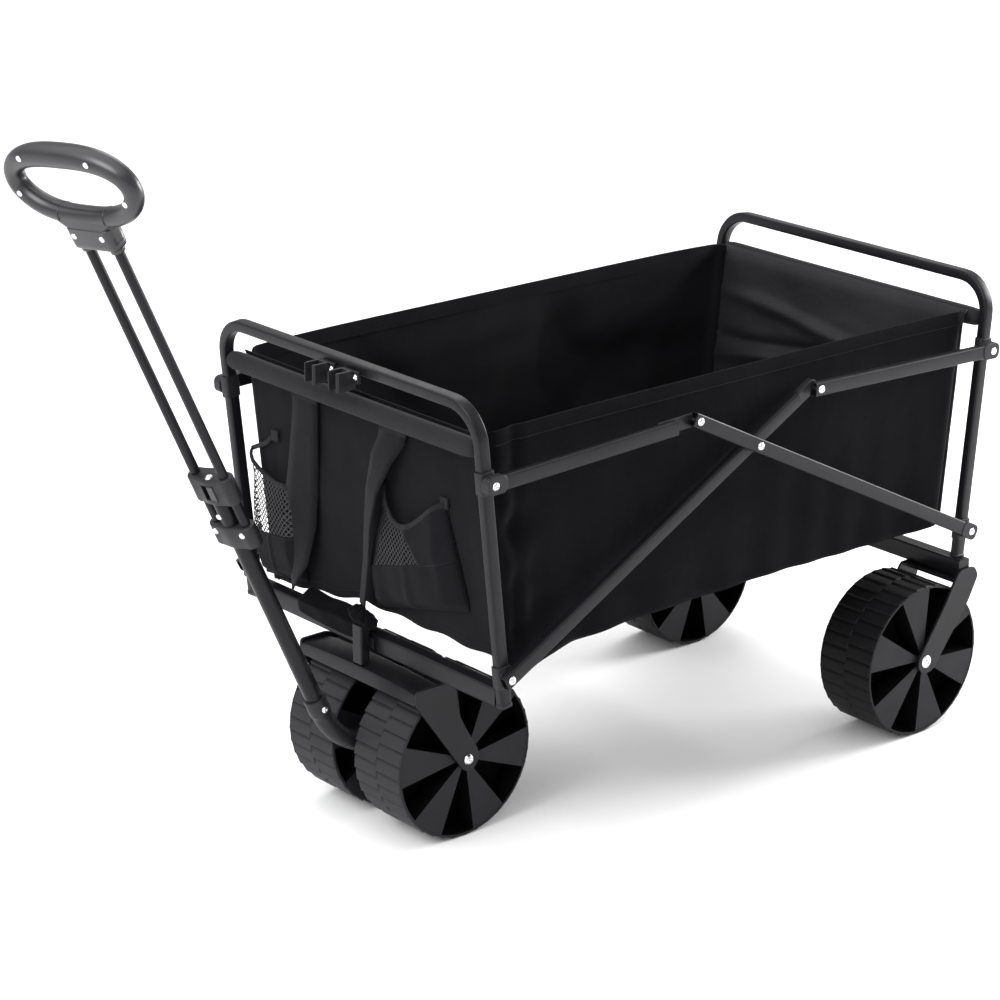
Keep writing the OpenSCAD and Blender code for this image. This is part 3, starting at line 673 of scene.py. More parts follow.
def forks():
    """Each rear wheel's fork: stamped outer arm with a folded rim, inner arm and bridge."""
    outer = REAR_GAP + WHEEL_W + 0.0022
    inner_outline = [p for p in FORK if p[1] < 0.2065]
    inner_outline = [(0.374, 0.2062), (0.417, 0.2062), (0.403, 0.172)] + inner_outline[3:]
    for s, side in ((-1, "near"), (1, "far")):
        stamped = prism(rounded_outline(FORK, 0.006), s * (outer + 0.004), s * outer)
        inner = prism(rounded_outline(inner_outline, 0.005), s * (REAR_GAP - 0.0012), s * (REAR_GAP - 0.0042))
        y = sorted((s * (REAR_GAP - 0.0042), s * (outer + 0.002)))
        bridge = block((0.375, y[0], 0.203), (0.413, y[1], 0.2068))
        add(f"rear_fork_{side}_plates", join([stamped, inner, bridge]), REAR, STEEL, smooth=False,
            node=f"rear_fork_{side}", bevel=(0.0009, 3))
    parts = []
    axle = at(REAR_AXLE, 0, WHEEL_R)
    washer = [(-0.0005, 0.0085), (0.001, 0.0085), (0.0012, 0.0055)]
    nut = [(0, 0.0078), (0.0055, 0.0078), (0.006, 0.0045)]
    for s in (-1, 1):
        out = Vector((0, s, 0))
        parts += [screw(axle + out * (outer + 0.0042), out, 0.0068, 0.0040),
                  lathe(washer, axle + out * (outer + 0.004), out, 24),
                  rod(0.0049, -0.094, 0, axle + out * (outer + 0.003), out, 16),
                  lathe(nut, axle + out * (REAR_GAP - 0.0042), -out, 6)]
    add("rear_axle_screws", join(parts), REAR, ZINC, node="rear_axle_bolts")


def truck():
    """Swivelling front truck: arched pressed plate with a front flange, side arms and axle."""
    half = FRONT_GAP + WHEEL_W + 0.002
    section = ((-0.4236, 0.1950, 0), (-0.424, 0.209, 1), (-0.4225, 0.2135, 1), (-0.418, 0.2149, 1),
               (-0.386, 0.2149, 1), (-0.3825, 0.2135, 1), (-0.382, 0.2085, 1), (-0.386, 0.2108, 1),
               (-0.416, 0.2108, 1), (-0.4200, 0.2075, 1), (-0.4200, 0.1950, 0))   # x, z and share of the arch
    steps = 24
    verts = []
    for k in range(steps + 1):
        y = -half + 2 * half * k / steps
        verts += [at(x, y, z - share * 0.0042 * (y / half) ** 2) for x, z, share in section]
    faces = skin(steps + 1, len(section), True) + ends(steps + 1, len(section))
    add("truck_cowl", (verts, faces), "truck", STEEL, node="truck_plate", split=42)
    washer = lathe([(0, 0.0105), (0.0014, 0.0105), (0.0016, 0.0052)], at(POST_X, 0, 0.2148), Z_AXIS, 28)
    nut = lathe([(0, 0.008), (0.006, 0.008), (0.0064, 0.0048)], at(POST_X, 0, 0.2108), -Z_AXIS, 6)
    add("truck_swivel_nut", join([washer, nut]), "truck", ZINC)
    arms = []
    y0 = FRONT_GAP + WHEEL_W + 0.0021
    for s in (-1, 1):
        arms.append(prism(rounded_outline(TRUCK_ARM, 0.006), s * (y0 + 0.004), s * y0))
        rim = sorted((s * (y0 + 0.0005), s * (y0 - 0.0100)))
        arms.append(block((-0.4235, rim[0], 0.1965), (-0.4195, rim[1], 0.2085)))
    add("truck_side_arms", join(arms), "truck", STEEL, smooth=False, node="truck_arms", bevel=(0.0009, 3))
    parts = [rod(0.0049, 0, 2 * y0 + 0.006, at(FRONT_AXLE, -y0 - 0.003, WHEEL_R), Y_AXIS, 20)]
    for s in (-1, 1):
        parts.append(screw(at(FRONT_AXLE, s * (y0 + 0.0042), WHEEL_R), Vector((0, s, 0)), 0.0068, 0.0042))
    add("front_axle_rod", join(parts), "truck", ZINC, node="front_axle")


def hooks():
    """Two snap clips on the front top bar, each with two fingers for a handle tube and a screwed tab."""
    x = -leg_x(TOP_Z) - LEG_W / 2 - 0.0005
    low = TOP_Z - 0.032
    parts, screws = [], []
    for s in (-1, 1):
        y = s * TWIN_Y
        parts.append(block((x - 0.008, y - 0.0104, low), (x, y + 0.0104, low + 0.024)))
        parts.append(block((x - 0.0045, y - 0.020, low + 0.009), (x, y - 0.010, low + 0.024)))
        for t in (-1, 1):
            a = y + t * 0.0084
            outline = [(0.001, a - 0.002), (0.001, a + 0.002), (-0.012, a + 0.0018),
                       (-0.0170, a + 0.0018 - t * 0.0012), (-0.0190, a + 0.0008 - t * 0.0008),
                       (-0.0190, a - 0.0008 - t * 0.0008), (-0.0165, a - 0.0018), (-0.010, a - 0.0020)]
            verts = [at(x - 0.008 + px, py, z) for z in (low, low + 0.024) for px, py in outline]
            parts.append((verts, slab(len(outline))))
        screws.append(screw(at(x - 0.0045, y - 0.0155, low + 0.017), -X_AXIS, 0.0036, 0.002))
    add("hook_clip_bodies", join(parts), FRONT, PLASTIC, smooth=False, node="hook_clips", bevel=(0.0007, 3))
    add("hook_clip_screws", join(screws), FRONT, ZINC)


# ---------- handle ----------
def on_handle(x, y, z):
    """A point in the handle's own frame: z along the tubes from the front axle, x rearward."""
    c, s = cos(HANDLE_LEAN), sin(HANDLE_LEAN)
    return at(FRONT_AXLE + x * c - z * s, y, WHEEL_R + x * s + z * c)


def handle_axis(x=0, y=0, z=1):
    return (on_handle(x, y, z) - on_handle(0, 0, 0)).normalized()


def on_tube(x, y, z):
    """A point in the turned handle's frame, measured from the lower tube's axis."""
    c, s = cos(TURN), sin(TURN)
    return on_handle(-TUBE_OFF + x * c - y * s, x * s + y * c, z)


H_UP, H_BACK, H_SIDE = handle_axis(0, 0, 1), handle_axis(1, 0, 0), Y_AXIS
T_BACK = H_BACK * cos(TURN) + H_SIDE * sin(TURN)
T_SIDE = H_SIDE * cos(TURN) - H_BACK * sin(TURN)


def round_rod(z0, z1, y, r, n=32):
    outline = circle(r, n)
    return sweep([(on_tube(0, y, z), T_BACK, T_SIDE, outline) for z in (z0, z1)])


def lower_handle():
    """Elbow from the front axle, lower tube, and the bracket the twin tubes slide through."""
    start, turn, radius = 0.114, 64.0, 0.105
    stations = []
    slim = circle(0.0125, 36)
    collar = ((0.138, 0.0118), (0.138, 0.0136), (0.1365, 0.0140), (0.116, 0.0140), (0.1145, 0.0137),
              (0.1140, 0.0132))
    for z, r in collar:
        stations.append((on_handle(-TUBE_OFF, 0, z), H_BACK, H_SIDE, circle(r, 36)))
    for k in range(1, 25):
        a = radians(turn * k / 24)
        centre = on_handle(-TUBE_OFF + radius - radius * cos(a), 0, start - radius * sin(a))
        side = (H_BACK * cos(a) + H_UP * sin(a)).normalized()
        stations.append((centre, side, H_SIDE, slim))
    stations.append((on_handle(0, 0, 0), stations[-1][1], H_SIDE, slim))
    hub = lathe([(0, 0.0155), (0.0012, 0.0168), (0.0368, 0.0168), (0.038, 0.0155)],
                on_handle(0, -0.019, 0), H_SIDE, 40)
    add("handle_elbow_moulding", join([sweep(stations), hub]), "elbow", PLASTIC,
        node="handle_elbow", split=45)
    collar_screw = screw(on_handle(-TUBE_OFF, -0.0140, 0.123), -H_SIDE, 0.0042, 0.0022)
    add("elbow_screw_head", collar_screw, "elbow", ZINC, node="elbow_screw")
    add("handle_lower_tube", round_rod(0.117, 0.456, 0, 0.011, 40), "handle_lower", STEEL,
        node="lower_tube", split=60)
    rivets = [screw(on_tube(-0.0105, 0.004, 0.430), -T_BACK, 0.0040, 0.0020),
              screw(on_tube(-0.005, -0.003, 0.486), H_UP, 0.0048, 0.0024)]
    add("handle_lower_screws", join(rivets), "handle_lower", ZINC, node="handle_screws")

    piece = add("handle_upper_bracket", bracket_shell(0.450, 0.486), "handle_lower", PLASTIC,
                node="upper_bracket")
    lo, hi = Vector((-0.0200, -0.0111, 0.457)), Vector((-0.0075, 0.0082, 0.479))
    cut_box(piece, block(lo, hi, place=on_tube))
    modify(piece, "EDGE_SPLIT", split_angle=radians(38))
    # thin near-black plate at the back of the latch window: painted shade in the recess
    add("handle_latch_shade", block((-0.0076, lo.y, lo.z), (-0.0072, hi.y, hi.z), place=on_tube),
        "handle_lower", RECESS_SHADE, smooth=False)
    add("handle_latch", block((-0.0138, -0.0106, 0.4576), (-0.0106, -0.0008, 0.4784), place=on_tube),
        "lock_button", GRIP, smooth=False, node="lock_button", bevel=(0.0011, 3))


def cut_box(piece, box):
    """Takes a box out of a piece."""
    cutter = add("cutter", box, None, PLASTIC, smooth=False)
    modify(piece, "BOOLEAN", operation="DIFFERENCE", object=cutter, solver="EXACT")
    apply_modifiers(piece)
    bpy.data.objects.remove(cutter)


def bracket_shell(z0, z1):
    """Moulded sleeve round the three tubes: fuller in the middle, round ends, eased top and bottom edges."""
    reach, end, full = TWIN_Y, 0.0108, 0.0025
    side = [(-(end + full * (0.5 + 0.5 * cos(pi * k / 14))), reach * k / 14) for k in range(-14, 15)]
    cap = [(-end * cos(radians(a)), reach + end * sin(radians(a))) for a in range(10, 171, 10)]
    half = side + cap
    outline = half + [(-x, -y) for x, y in half]
    stations = []
    for z, shrink in ((z0, 0.0016), (z0 + 0.0006, 0.0006), (z0 + 0.0018, 0),
                      (z1 - 0.0018, 0), (z1 - 0.0006, 0.0006), (z1, 0.0016)):
        scaled = [(x * (1 - shrink / 0.013), y * (1 - shrink / 0.034)) for x, y in outline]
        stations.append((on_tube(0, 0, z), T_BACK, T_SIDE, scaled))
    return sweep(stations)


def upper_handle():
    """Twin tubes with the lower bracket, and the loop grip on its tapering neck."""
    tubes = [round_rod(0.389, 0.824, s * TWIN_Y, 0.0060, 28) for s in (-1, 1)]
    add("handle_twin_tubes", join(tubes), "handle_upper", STEEL, node="twin_tubes", split=60)
    add("handle_lower_bracket", bracket_shell(0.385, 0.415), "handle_upper", PLASTIC,
        node="lower_bracket", split=38)
    heads = [screw(on_tube(-0.0108, s * 0.0215, 0.406), -T_BACK, 0.0042, 0.0022) for s in (-1, 1)]
    add("handle_bracket_screws", join(heads), "handle_upper", ZINC, node="bracket_screws")
    grip()


def grip():
    """Loop grip: one closed tube, thicker along the hand bar, and a ribbed neck below it."""
    stations = []
    steps = 80
    for k in range(steps):
        a = 2 * pi * k / steps
        c, s = cos(a), sin(a)
        y = 0.0918 * copysign(abs(c) ** 0.74, c)
        z = 0.8900 + (0.0388 * s ** 0.9 if s > 0 else -0.0405 * abs(s) ** 1.15)
        stations.append((y, z, s))
    ring = []
    for i, (y, z, s) in enumerate(stations):
        (y0, z0, _), (y1, z1, _) = stations[i - 1], stations[(i + 1) % steps]
        tangent = (T_SIDE * (y1 - y0) + H_UP * (z1 - z0)).normalized()
        inward = T_BACK.cross(tangent).normalized()
        r = 0.0110 + 0.0032 * max(0, s) ** 0.7 * (1 - (y / 0.094) ** 2) ** 0.5 + 0.0007 * max(0, -s)
        ring.append((on_tube(0, y, z), inward, T_BACK, circle(r, 28, 1.04)))
    add("grip_loop", sweep(ring, closed=True), "handle_upper", GRIP, node="grip")
    neck_rows = ((0.811, 0.0335, 0.0108), (0.8125, 0.0345, 0.0118), (0.817, 0.0348, 0.0122),
                 (0.8192, 0.0348, 0.0122), (0.8200, 0.0340, 0.0130), (0.830, 0.0340, 0.0132),
                 (0.8380, 0.0344, 0.0130), (0.8388, 0.0338, 0.0122), (0.8400, 0.0342, 0.0122),
                 (0.8410, 0.0360, 0.0130), (0.847, 0.0440, 0.0126), (0.855, 0.0560, 0.0104))
    rows = [(on_tube(0, 0, z), T_BACK, T_SIDE, rounded_rect(2 * t, 2 * w, min(0.009, t * 0.85), 6))
            for z, w, t in neck_rows]
    add("grip_neck", sweep(rows), "handle_upper", GRIP, split=35)
    sockets = []
    for s in (-1, 1):
        sockets.append(sweep([(on_tube(0, s * TWIN_Y, z), T_BACK, T_SIDE, circle(r, 28))
                              for z, r in ((0.8040, 0.0074), (0.8050, 0.0084), (0.814, 0.0092))]))
    bands = [sweep([(on_tube(0, y + d, 0.8504), H_UP, T_BACK, circle(r, 32))
                    for d, r in ((-0.0010, 0.0124), (-0.0006, 0.0132), (0.0006, 0.0132), (0.0010, 0.0124))])
             for y in (0.036, -0.036)]
    add("grip_collars", join(sockets + bands), "handle_upper", GRIP)
    heads = []
    for s in (-1, 1):
        for y, z, lift in ((0.022, 0.829, 0.0131), (0.053, 0.9290, 0.0138), (0.0835, 0.8790, 0.0110)):
            heads.append(screw(on_tube(-lift, s * y, z), -T_BACK, 0.0038, 0.0016))
    add("grip_screw_heads", join(heads), "handle_upper", ZINC, node="grip_screws")


# ---------- fabric ----------
def grid_piece(name, shape, nu, nv, body, mat, thick=0.0016, node=None, flat=None):
    """Cloth surface: shape(u, v) gives a point for u and v from 0 to 1."""
    verts = [shape(i / nu, j / nv) for i in range(nu + 1) for j in range(nv + 1)]
    piece = add(name, (verts, skin(nu + 1, nv + 1)), body, mat, node=node)
    modify(piece, "SOLIDIFY", thickness=thick, offset=0)
    return piece


def fold_up(piece):
    """Gives a basket piece a mesh of its own."""
    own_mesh(piece)


def apply_modifiers(obj):
    """Bakes the piece's modifiers into its mesh."""
    graph = bpy.context.evaluated_depsgraph_get()
    done = bpy.data.meshes.new_from_object(obj.evaluated_get(graph))
    obj.modifiers.clear()
    obj.data = done


def ridge(t, middle, width):
    return exp(-((t - middle) / width) ** 2)


def wave(x, y, z, scale, seed):
    return noise.noise(Vector((x * scale + seed, y * scale - seed, z * scale + 2 * seed)))


def side_wall(side):
    """Long side of the basket: hemmed top, soft folds, round ends and a shallow curve along the bottom."""
    s = -1 if side == "near" else 1

    def shape(u, v):
        low = 0.2765 + 0.0055 * sin(pi * u) * (1 if s < 0 else 0.4)
        low -= 0.036 * max(0, 1 - u / 0.14) ** 1.4 * (1 if s < 0 else 0.7)
        top = HEM_Z - 0.004 * abs(2 * u - 1) ** 6
        z = low + (top - low) * v
        end = leg_x(z) - 0.0205
        x = -end + 2 * end * u
        near_end = max(0, 1 - min(u, 1 - u) * 2 * end / 0.016)
        y = SIDE_Y - 0.010 * near_end ** 2
        slack = sin(pi * min(1, v * 1.02)) * sin(pi * u) ** 0.4
        if s > 0:
            folds = (0.0055 * ridge(u + 0.25 * v, 0.42, 0.05) - 0.0045 * ridge(u - 0.30 * v, 0.30, 0.06)
                     + 0.0050 * ridge(u + 0.10 * v, 0.70, 0.05) - 0.0050 * ridge(u - 0.12 * v, 0.80, 0.045))
            y += slack * (2.1 * folds + 0.013 * wave(x, v, z, 5.5, 3.1) + 0.004 * wave(x, 0, z, 14, 1.1))
        else:
            belly = 0.0035 * sin(pi * v) * sin(pi * u)
            y += slack * (belly * 0.3 + 0.0035 * wave(x, 0.3 * v, z, 7.0, 1.3))
            corner = ridge(u, 0.03, 0.035)
            y += corner * (0.004 * sin(17 * v + 1) + 0.004 * sin(29 * v)) * sin(pi * v) ** 0.5
            y += 0.004 * ridge(v + 0.9 * u, 0.16, 0.05) - 0.003 * ridge(v + 0.5 * u, 0.30, 0.04)
            y += 0.0012 * (1 - v) ** 2 * sin(60 * u + 2 * sin(9 * u))
            y += (0.0045 * ridge(u, 0.045, 0.012) * ridge(v + 2.5 * u, 0.42, 0.10)
                  - 0.004 * ridge(u - 0.03 * v, 0.022, 0.010))
        return at(x, s * min(y, 0.2405), z)

    hem = hem_strip(side, shape, s)
    # the near wall takes the darker cloth: painted shade
    cloth = SHADED_CLOTH if s < 0 else CLOTH
    wall = grid_piece(f"basket_side_{side}", shape, 120, 40, REAR, cloth, node=f"side_panel_{side}")
    apply_modifiers(wall)
    fold_up(wall)
    fold_up(hem)


def hem_strip(side, shape, s):
    """Turned-over hem along the top with a row of stitches."""
    steps = 120
    section = [Vector((0, s * 0.0013, -0.019))]
    section += [Vector((0, s * 0.0014 * cos(pi * j / 8), 0.0013 * sin(pi * j / 8))) for j in range(9)]
    section += [Vector((0, -s * 0.0013, -0.019))]
    verts = [shape(k / steps, 1.0) + p for k in range(steps + 1) for p in section]
    w = len(section)
    faces = skin(steps + 1, w) + ends(steps + 1, w)
    # the near hem takes the darker cloth: painted shade
    hem = add(f"basket_hem_{side}", (verts, faces), REAR, SHADED_CLOTH if s < 0 else CLOTH)
    line = [shape(k / 240, 1.0) + Vector((0, s * 0.0015, -0.0165)) for k in range(4, 237)]
    fold_up(add(f"basket_hem_stitches_{side}", stitches(line, Vector((0, s, 0))), REAR, THREAD))
    return hem


def stitches(points, out, length=0.0026, gap=0.0016, r=0.00035):
    """A row of short raised stitches along a line of points."""
    line = [Vector(p) for p in points]
    far = [0.0]
    for a, b in zip(line, line[1:]):
        far.append(far[-1] + (b - a).length)
    parts, here = [], 0.0
    wide = [(r, 0), (0, r), (-r, 0), (0, -r)]
    slim = [(x * 0.5, y * 0.5) for x, y in wide]

    def point(d):
        j = min(max(bisect_left(far, d) - 1, 0), len(line) - 2)
        t = (d - far[j]) / max(far[j + 1] - far[j], 1e-9)
        return line[j].lerp(line[j + 1], min(max(t, 0), 1))

    while here + length < far[-1]:
        a, b = point(here), point(here + length)
        side = (b - a).normalized().cross(out).normalized()
        lift = out * r * 0.6
        parts.append(sweep([(a, side, out, slim), (a.lerp(b, 0.25) + lift, side, out, wide),
                            (a.lerp(b, 0.75) + lift, side, out, wide), (b, side, out, slim)]))
        here += length + gap
    return join(parts)


def rear_wall():
    """Rear panel: wraps over the padded roll at the top and hangs in soft cross folds."""
    half = SIDE_Y - 0.0045

    def shape(u, v):
        y = -half + 2 * half * u
        low = FLOOR_Z + 0.0010
        z = low + (HEM_Z - 0.004 - low) * v
        x = leg_x(z) - 0.0185
        if v > 0.93:
            t = (v - 0.93) / 0.07
            x += 0.006 * t ** 2
        slack = sin(pi * v) * sin(pi * u) ** 0.5
        folds = (0.0045 * ridge(v + 0.05 * sin(5 * u), 0.72, 0.035)
                 - 0.0035 * ridge(v - 0.06 * sin(4 * u + 1), 0.60, 0.03)
                 + 0.0040 * ridge(v + 0.07 * sin(4.4 * u + 2), 0.44, 0.035) - 0.003 * ridge(v, 0.28, 0.04))
        folds = 2.6 * folds + 0.009 * wave(0.2, y, z, 9, 5.7) + 0.003 * wave(0.1, y, z * 1.5, 20, 2.7)
        return at(x - slack * folds - 0.001, y, z)

    # lighter cloth: painted light on the rear panel
    grid_piece("basket_rear_panel", shape, 60, 60, REAR, REAR_LIT_CLOTH, node="rear_panel",
               flat=(0.452, 0.285))


def front_face(z, out):
    """X of a point standing out from the front panel's face."""
    return -leg_x(z) + 0.0167 - out


def front_wall():
    half = SIDE_Y - 0.0045

    def shape(u, v):
        y = -half + 2 * half * u
        low = 0.279 - 0.027 * max(0, (y - 0.04) / (half - 0.04)) ** 0.8 + 0.002 * sin(34 * u)
        z = low + (HEM_Z - 0.003 - low) * v
        x = front_face(z, -0.0018)
        slack = sin(pi * v) * sin(pi * u) ** 0.5
        folds = (0.004 * ridge(u + 0.05 * v, 0.88, 0.02) - 0.003 * ridge(u - 0.03 * v, 0.93, 0.012)
                 + 0.003 * ridge(u - 0.05 * v, 0.06, 0.02))
        x += slack * (folds * 0.7 + 0.0035 * wave(0.7, y, z * 0.4, 9, 2.2) + 0.002 * wave(0.3, y, z, 22, 6.2))
        if v > 0.92:
            x -= 0.005 * ((v - 0.92) / 0.08) ** 2
        return at(x, y, z)

    grid_piece("basket_front_panel", shape, 72, 48, FRONT, CLOTH, node="front_panel",
               flat=(0.452, 0.292))
    hem = [shape(k / 200, 0.035) + Vector((-0.0012, 0, 0)) for k in range(3, 198)]
    add("front_panel_stitches", stitches(hem, -X_AXIS), FRONT, THREAD)


def plump(obj, held, most, top=None, voxel=None):
    """Fills a padded piece with a short cloth simulation under pressure; held(point) tells which points stay,
    most caps how far a point may move and top its height."""
    if voxel:
        modify(obj, "REMESH", mode="VOXEL", voxel_size=voxel)
        apply_modifiers(obj)
    start = [v.co.copy() for v in obj.data.vertices]
    group = obj.vertex_groups.new(name="held")
    group.add([i for i, p in enumerate(start) if held(p)], 1.0, "REPLACE")
    cloth = obj.modifiers.new("cloth", "CLOTH")
    cloth.settings.quality = 4
    cloth.settings.mass = 0.2
    cloth.settings.vertex_group_mass = "held"
    cloth.settings.use_pressure = True
    cloth.settings.uniform_pressure_force = 4
    cloth.settings.effector_weights.gravity = 0
    cloth.point_cache.frame_start, cloth.point_cache.frame_end = 1, 20
    scene = bpy.context.scene
    for step in range(1, 21):
        scene.frame_set(step)
    apply_modifiers(obj)
    scene.frame_set(1)
    for vert, old in zip(obj.data.vertices, start):
        move = vert.co - old
        if move.length > most:
            vert.co = old + move * (most / move.length)
        if top is not None:
            vert.co.z = min(vert.co.z, top)
    for face in obj.data.polygons:
        face.use_smooth = True
    modify(obj, "SUBSURF", levels=1, render_levels=1)
    apply_modifiers(obj)


def hem_rolls():
    """Padded rolls that hold the basket under each top bar: lumpy, gathered at the legs."""
    for direction, body in ((1, REAR), (-1, FRONT)):
        side = "rear" if direction > 0 else "front"
        half = LEG_OUT - LEG_T - 0.0006
        stations = []
        steps = 90
        for k in range(steps + 1):
            t = k / steps
            y = -half + 2 * half * t
            end = min(t, 1 - t) * 2 * half
            shrink = 0.80 + 0.20 * min(1, end / 0.02) ** 0.5
            if k in (0, steps):
                shrink = 0.5
            outline = []
            for i in range(32):
                a = 2 * pi * i / 32
                r = ROLL_R * shrink * (1 + 0.045 * wave(y * 1.2, cos(a), sin(a), 9, direction * 4.4))
                r *= 1 - 0.05 * ridge(a, pi, 0.25)
                outline.append((r * cos(a), r * sin(a)))
            centre = at(direction * leg_x(ROLL_Z), y, ROLL_Z - 0.0008 * sin(pi * t))
            stations.append((centre, X_AXIS * direction, Z_AXIS, outline))
        # lighter cloth: painted light on the roll
        roll = add(f"{side}_roll", sweep(stations), body, ROLL_LIT_CLOTH, node=f"{side}_hem_roll")
        low = at(direction * (leg_x(ROLL_Z) + ROLL_R * 0.60), 0, ROLL_Z - ROLL_R * 0.83)   # the seam's line

        def held(p):
            under = p.z < ROLL_Z - ROLL_R * 0.55 and abs(p.x - low.x) < 0.004
            return abs(p.y) > half - 0.006 or (under and int(abs(p.y) / 0.014) % 2 == 0)

        plump(roll, held, 0.0016, voxel=0.004)
        seam = [low + Y_AXIS * (-half + 2 * half * k / 160) for k in range(5, 156)]
        out = Vector((direction * 0.6, 0, -0.8)).normalized()
        add(f"{side}_roll_stitches", stitches(seam, out), body, THREAD)


def floor_mat():
    """Padded floor: four quilted panels with sewn folds between them."""
    x0 = leg_x(FLOOR_Z) - 0.0245
    y0 = SIDE_Y - 0.0055
    nx, ny = 96, 56
    verts, faces = [], []
    for side in (0, 1):
        for i in range(nx + 1):
            for j in range(ny + 1):
                u, v = i / nx, j / ny
                x, y = -x0 + 2 * x0 * u, -y0 + 2 * y0 * v
                edge = min(u, 1 - u) * 2 * x0, min(v, 1 - v) * 2 * y0
                crown = min(1, min(edge) / 0.014) ** 0.5
                fold = min(abs(u * 4 - k) for k in (1, 2, 3)) * x0 / 2
                dip = min(1, 0.25 + fold / 0.012)
                z = FLOOR_Z - 0.0040 + (0.0038 if side else -0.0038) * crown * dip
                z += 0.0012 * crown * wave(x, y, 0.0, 14, 8.8) * dip
                verts.append(at(x, y, min(z, FLOOR_Z)))
    w = ny + 1
    base = (nx + 1) * w
    for i in range(nx):
        for j in range(ny):
            a, b, c, d = i * w + j, i * w + j + 1, (i + 1) * w + j + 1, (i + 1) * w + j
            faces += [(d, c, b, a), (base + a, base + b, base + c, base + d)]
    rim = [i * w for i in range(nx + 1)] + [nx * w + j for j in range(1, w)]
    rim += [i * w + ny for i in range(nx - 1, -1, -1)] + [j for j in range(ny - 1, 0, -1)]
    faces += [(a, b, base + b, base + a) for a, b in zip(rim, rim[1:] + rim[:1])]
    mat = add("basket_floor", (verts, faces), REAR, CLOTH, node="floor_mat")
    seams = [MID - x0 + x0 * k / 2 for k in range(5)]
    plump(mat, lambda p: min(abs(p.x - x) for x in seams) < 0.007 or abs(p.y) > y0 - 0.006,
          0.0022, FLOOR_Z)
    fold_up(mat)


GATHER = 1.14     # cloth gathered into each pouch, over its width on the panel


def pocket(name, y0, y1, node, low, band, opening, tab, skew=0.0, gusset=0.0):
    """Pouch on the front panel: cloth band below, open net above, bound opening. low, band and opening give
    heights across it, from u = 0 at y0 to 1 at y1; tab is where the binding is sewn to the panel."""
    belly = 0.021

    def surface(u, z):
        base, height = low(u), 0.165
        v = (z - base) / height
        swell = min(1, min(u, 1 - u) / 0.16) ** 0.5
        out = belly * swell * (0.45 + 0.55 * sin(pi * min(1, v + 0.12)) if v < 0.85 else 0.56)
        out *= min(1, 0.12 + max(0, v) / 0.09)
        y = y0 + (y1 - y0) * u + skew * max(0, z - 0.345) * (0.22 - 0.58 * u)
        out += (0.0026 * wave(0.4, y, z, 26, y0 * 9) + 0.0025 * ridge(u, 0.52, 0.03) * (1 - v)) * swell
        return at(front_face(z, max(0.0012, out)), y, z)

    def lower(u, v):
        return surface(u, low(u) + (band(u) - low(u)) * v)

    def upper(u, v):
        start = band(u) - 0.004
        return surface(u, start + (opening(u) - start) * v)

    gathered = (y1 - y0) * GATHER
    grid_piece(f"{name}_band", lower, 48, 24, FRONT, CLOTH, thick=0.0012, node=node,
               flat=(gathered, band(0.5) - low(0.5) + 0.012))
    grid_piece(f"{name}_net", upper, 48, 24, FRONT, NET, thick=0.0004,
               flat=(gathered, opening(0.5) - band(0.5) + 0.016))
    if gusset:
        grid_piece(f"{name}_gusset", lambda u, v: upper(u * (gusset + 0.26 * v), v) - X_AXIS * 0.0008, 24, 20,
                   FRONT, CLOTH, thick=0.0008,
                   flat=(gathered * (gusset + 0.13), opening(0.25) - band(0.25)))
    path = [upper(k / 60, 1.0) for k in range(61)]
    start = at(front_face(tab[1], 0.0022), *tab)
    far = path[-1] if tab[0] > (y0 + y1) / 2 or y0 > 0 else path[0]
    parts = [tape(path, 0.0065)]
    if (far - start).length > 0.02 and not gusset:
        bend = start.lerp(far, 0.6) + Vector((-0.002, -0.014, 0.004))
        parts.append(tape([start, start.lerp(bend, 0.5) + Vector((-0.001, 0, 0.001)), bend, far], 0.006))
    sewn = block((front_face(tab[1], 0.0044), tab[0] - 0.007, tab[1] - 0.008),
                 (front_face(tab[1], 0.0016), tab[0] + 0.007, tab[1] + 0.006))
    add(f"{name}_binding", join(parts), FRONT, BINDING)
    seam = [lower(k / 60, 0.97) + Vector((-0.0010, 0, 0)) for k in range(2, 59)]
    add(f"{name}_stitches", stitches(seam, -X_AXIS), FRONT, THREAD)
    add(f"{name}_tab", sewn, FRONT, BINDING, smooth=False, bevel=(0.0009, 2))


def tape(path, width):
    """Folded binding tape along a line of points on the front panel."""
    stations = []
    last = len(path) - 1
    for k, p in enumerate(path):
        tangent = (path[min(k + 1, last)] - path[max(k - 1, 0)]).normalized()
        side = tangent.cross(-X_AXIS).normalized()
        stations.append((p + Vector((-0.0004, 0, 0)), side, side.cross(tangent).normalized(),
                         rounded_rect(width, 0.0026, 0.0012, 3)))
    return sweep(stations)


def strap(name, node, path, widths, twists):
    """Webbing strap hanging down the front: path of (y, z, out), its width across and twist at each point."""
    count = 60
    points = [at(front_face(z, out), y, z) for y, z, out in path]

    def along(values, t):
        f = t * (len(values) - 1)
        i = min(int(f), len(values) - 2)
        g = f - i
        g = g * g * (3 - 2 * g) * 0.5 + g * 0.5
        return values[i] * (1 - g) + values[i + 1] * g

    verts = []
    for k in range(count + 1):
        t = k / count
        centre, half, twist = along(points, t), along(widths, t) / 2, radians(along(twists, t))
        across = Vector((-sin(twist), cos(twist), 0))
        verts += [centre + across * half * s for s in (-1, -0.5, 0, 0.5, 1)]
    piece = add(name, (verts, skin(count + 1, 5)), FRONT, WEBBING, node=node)
    modify(piece, "SOLIDIFY", thickness=0.0018, offset=0)


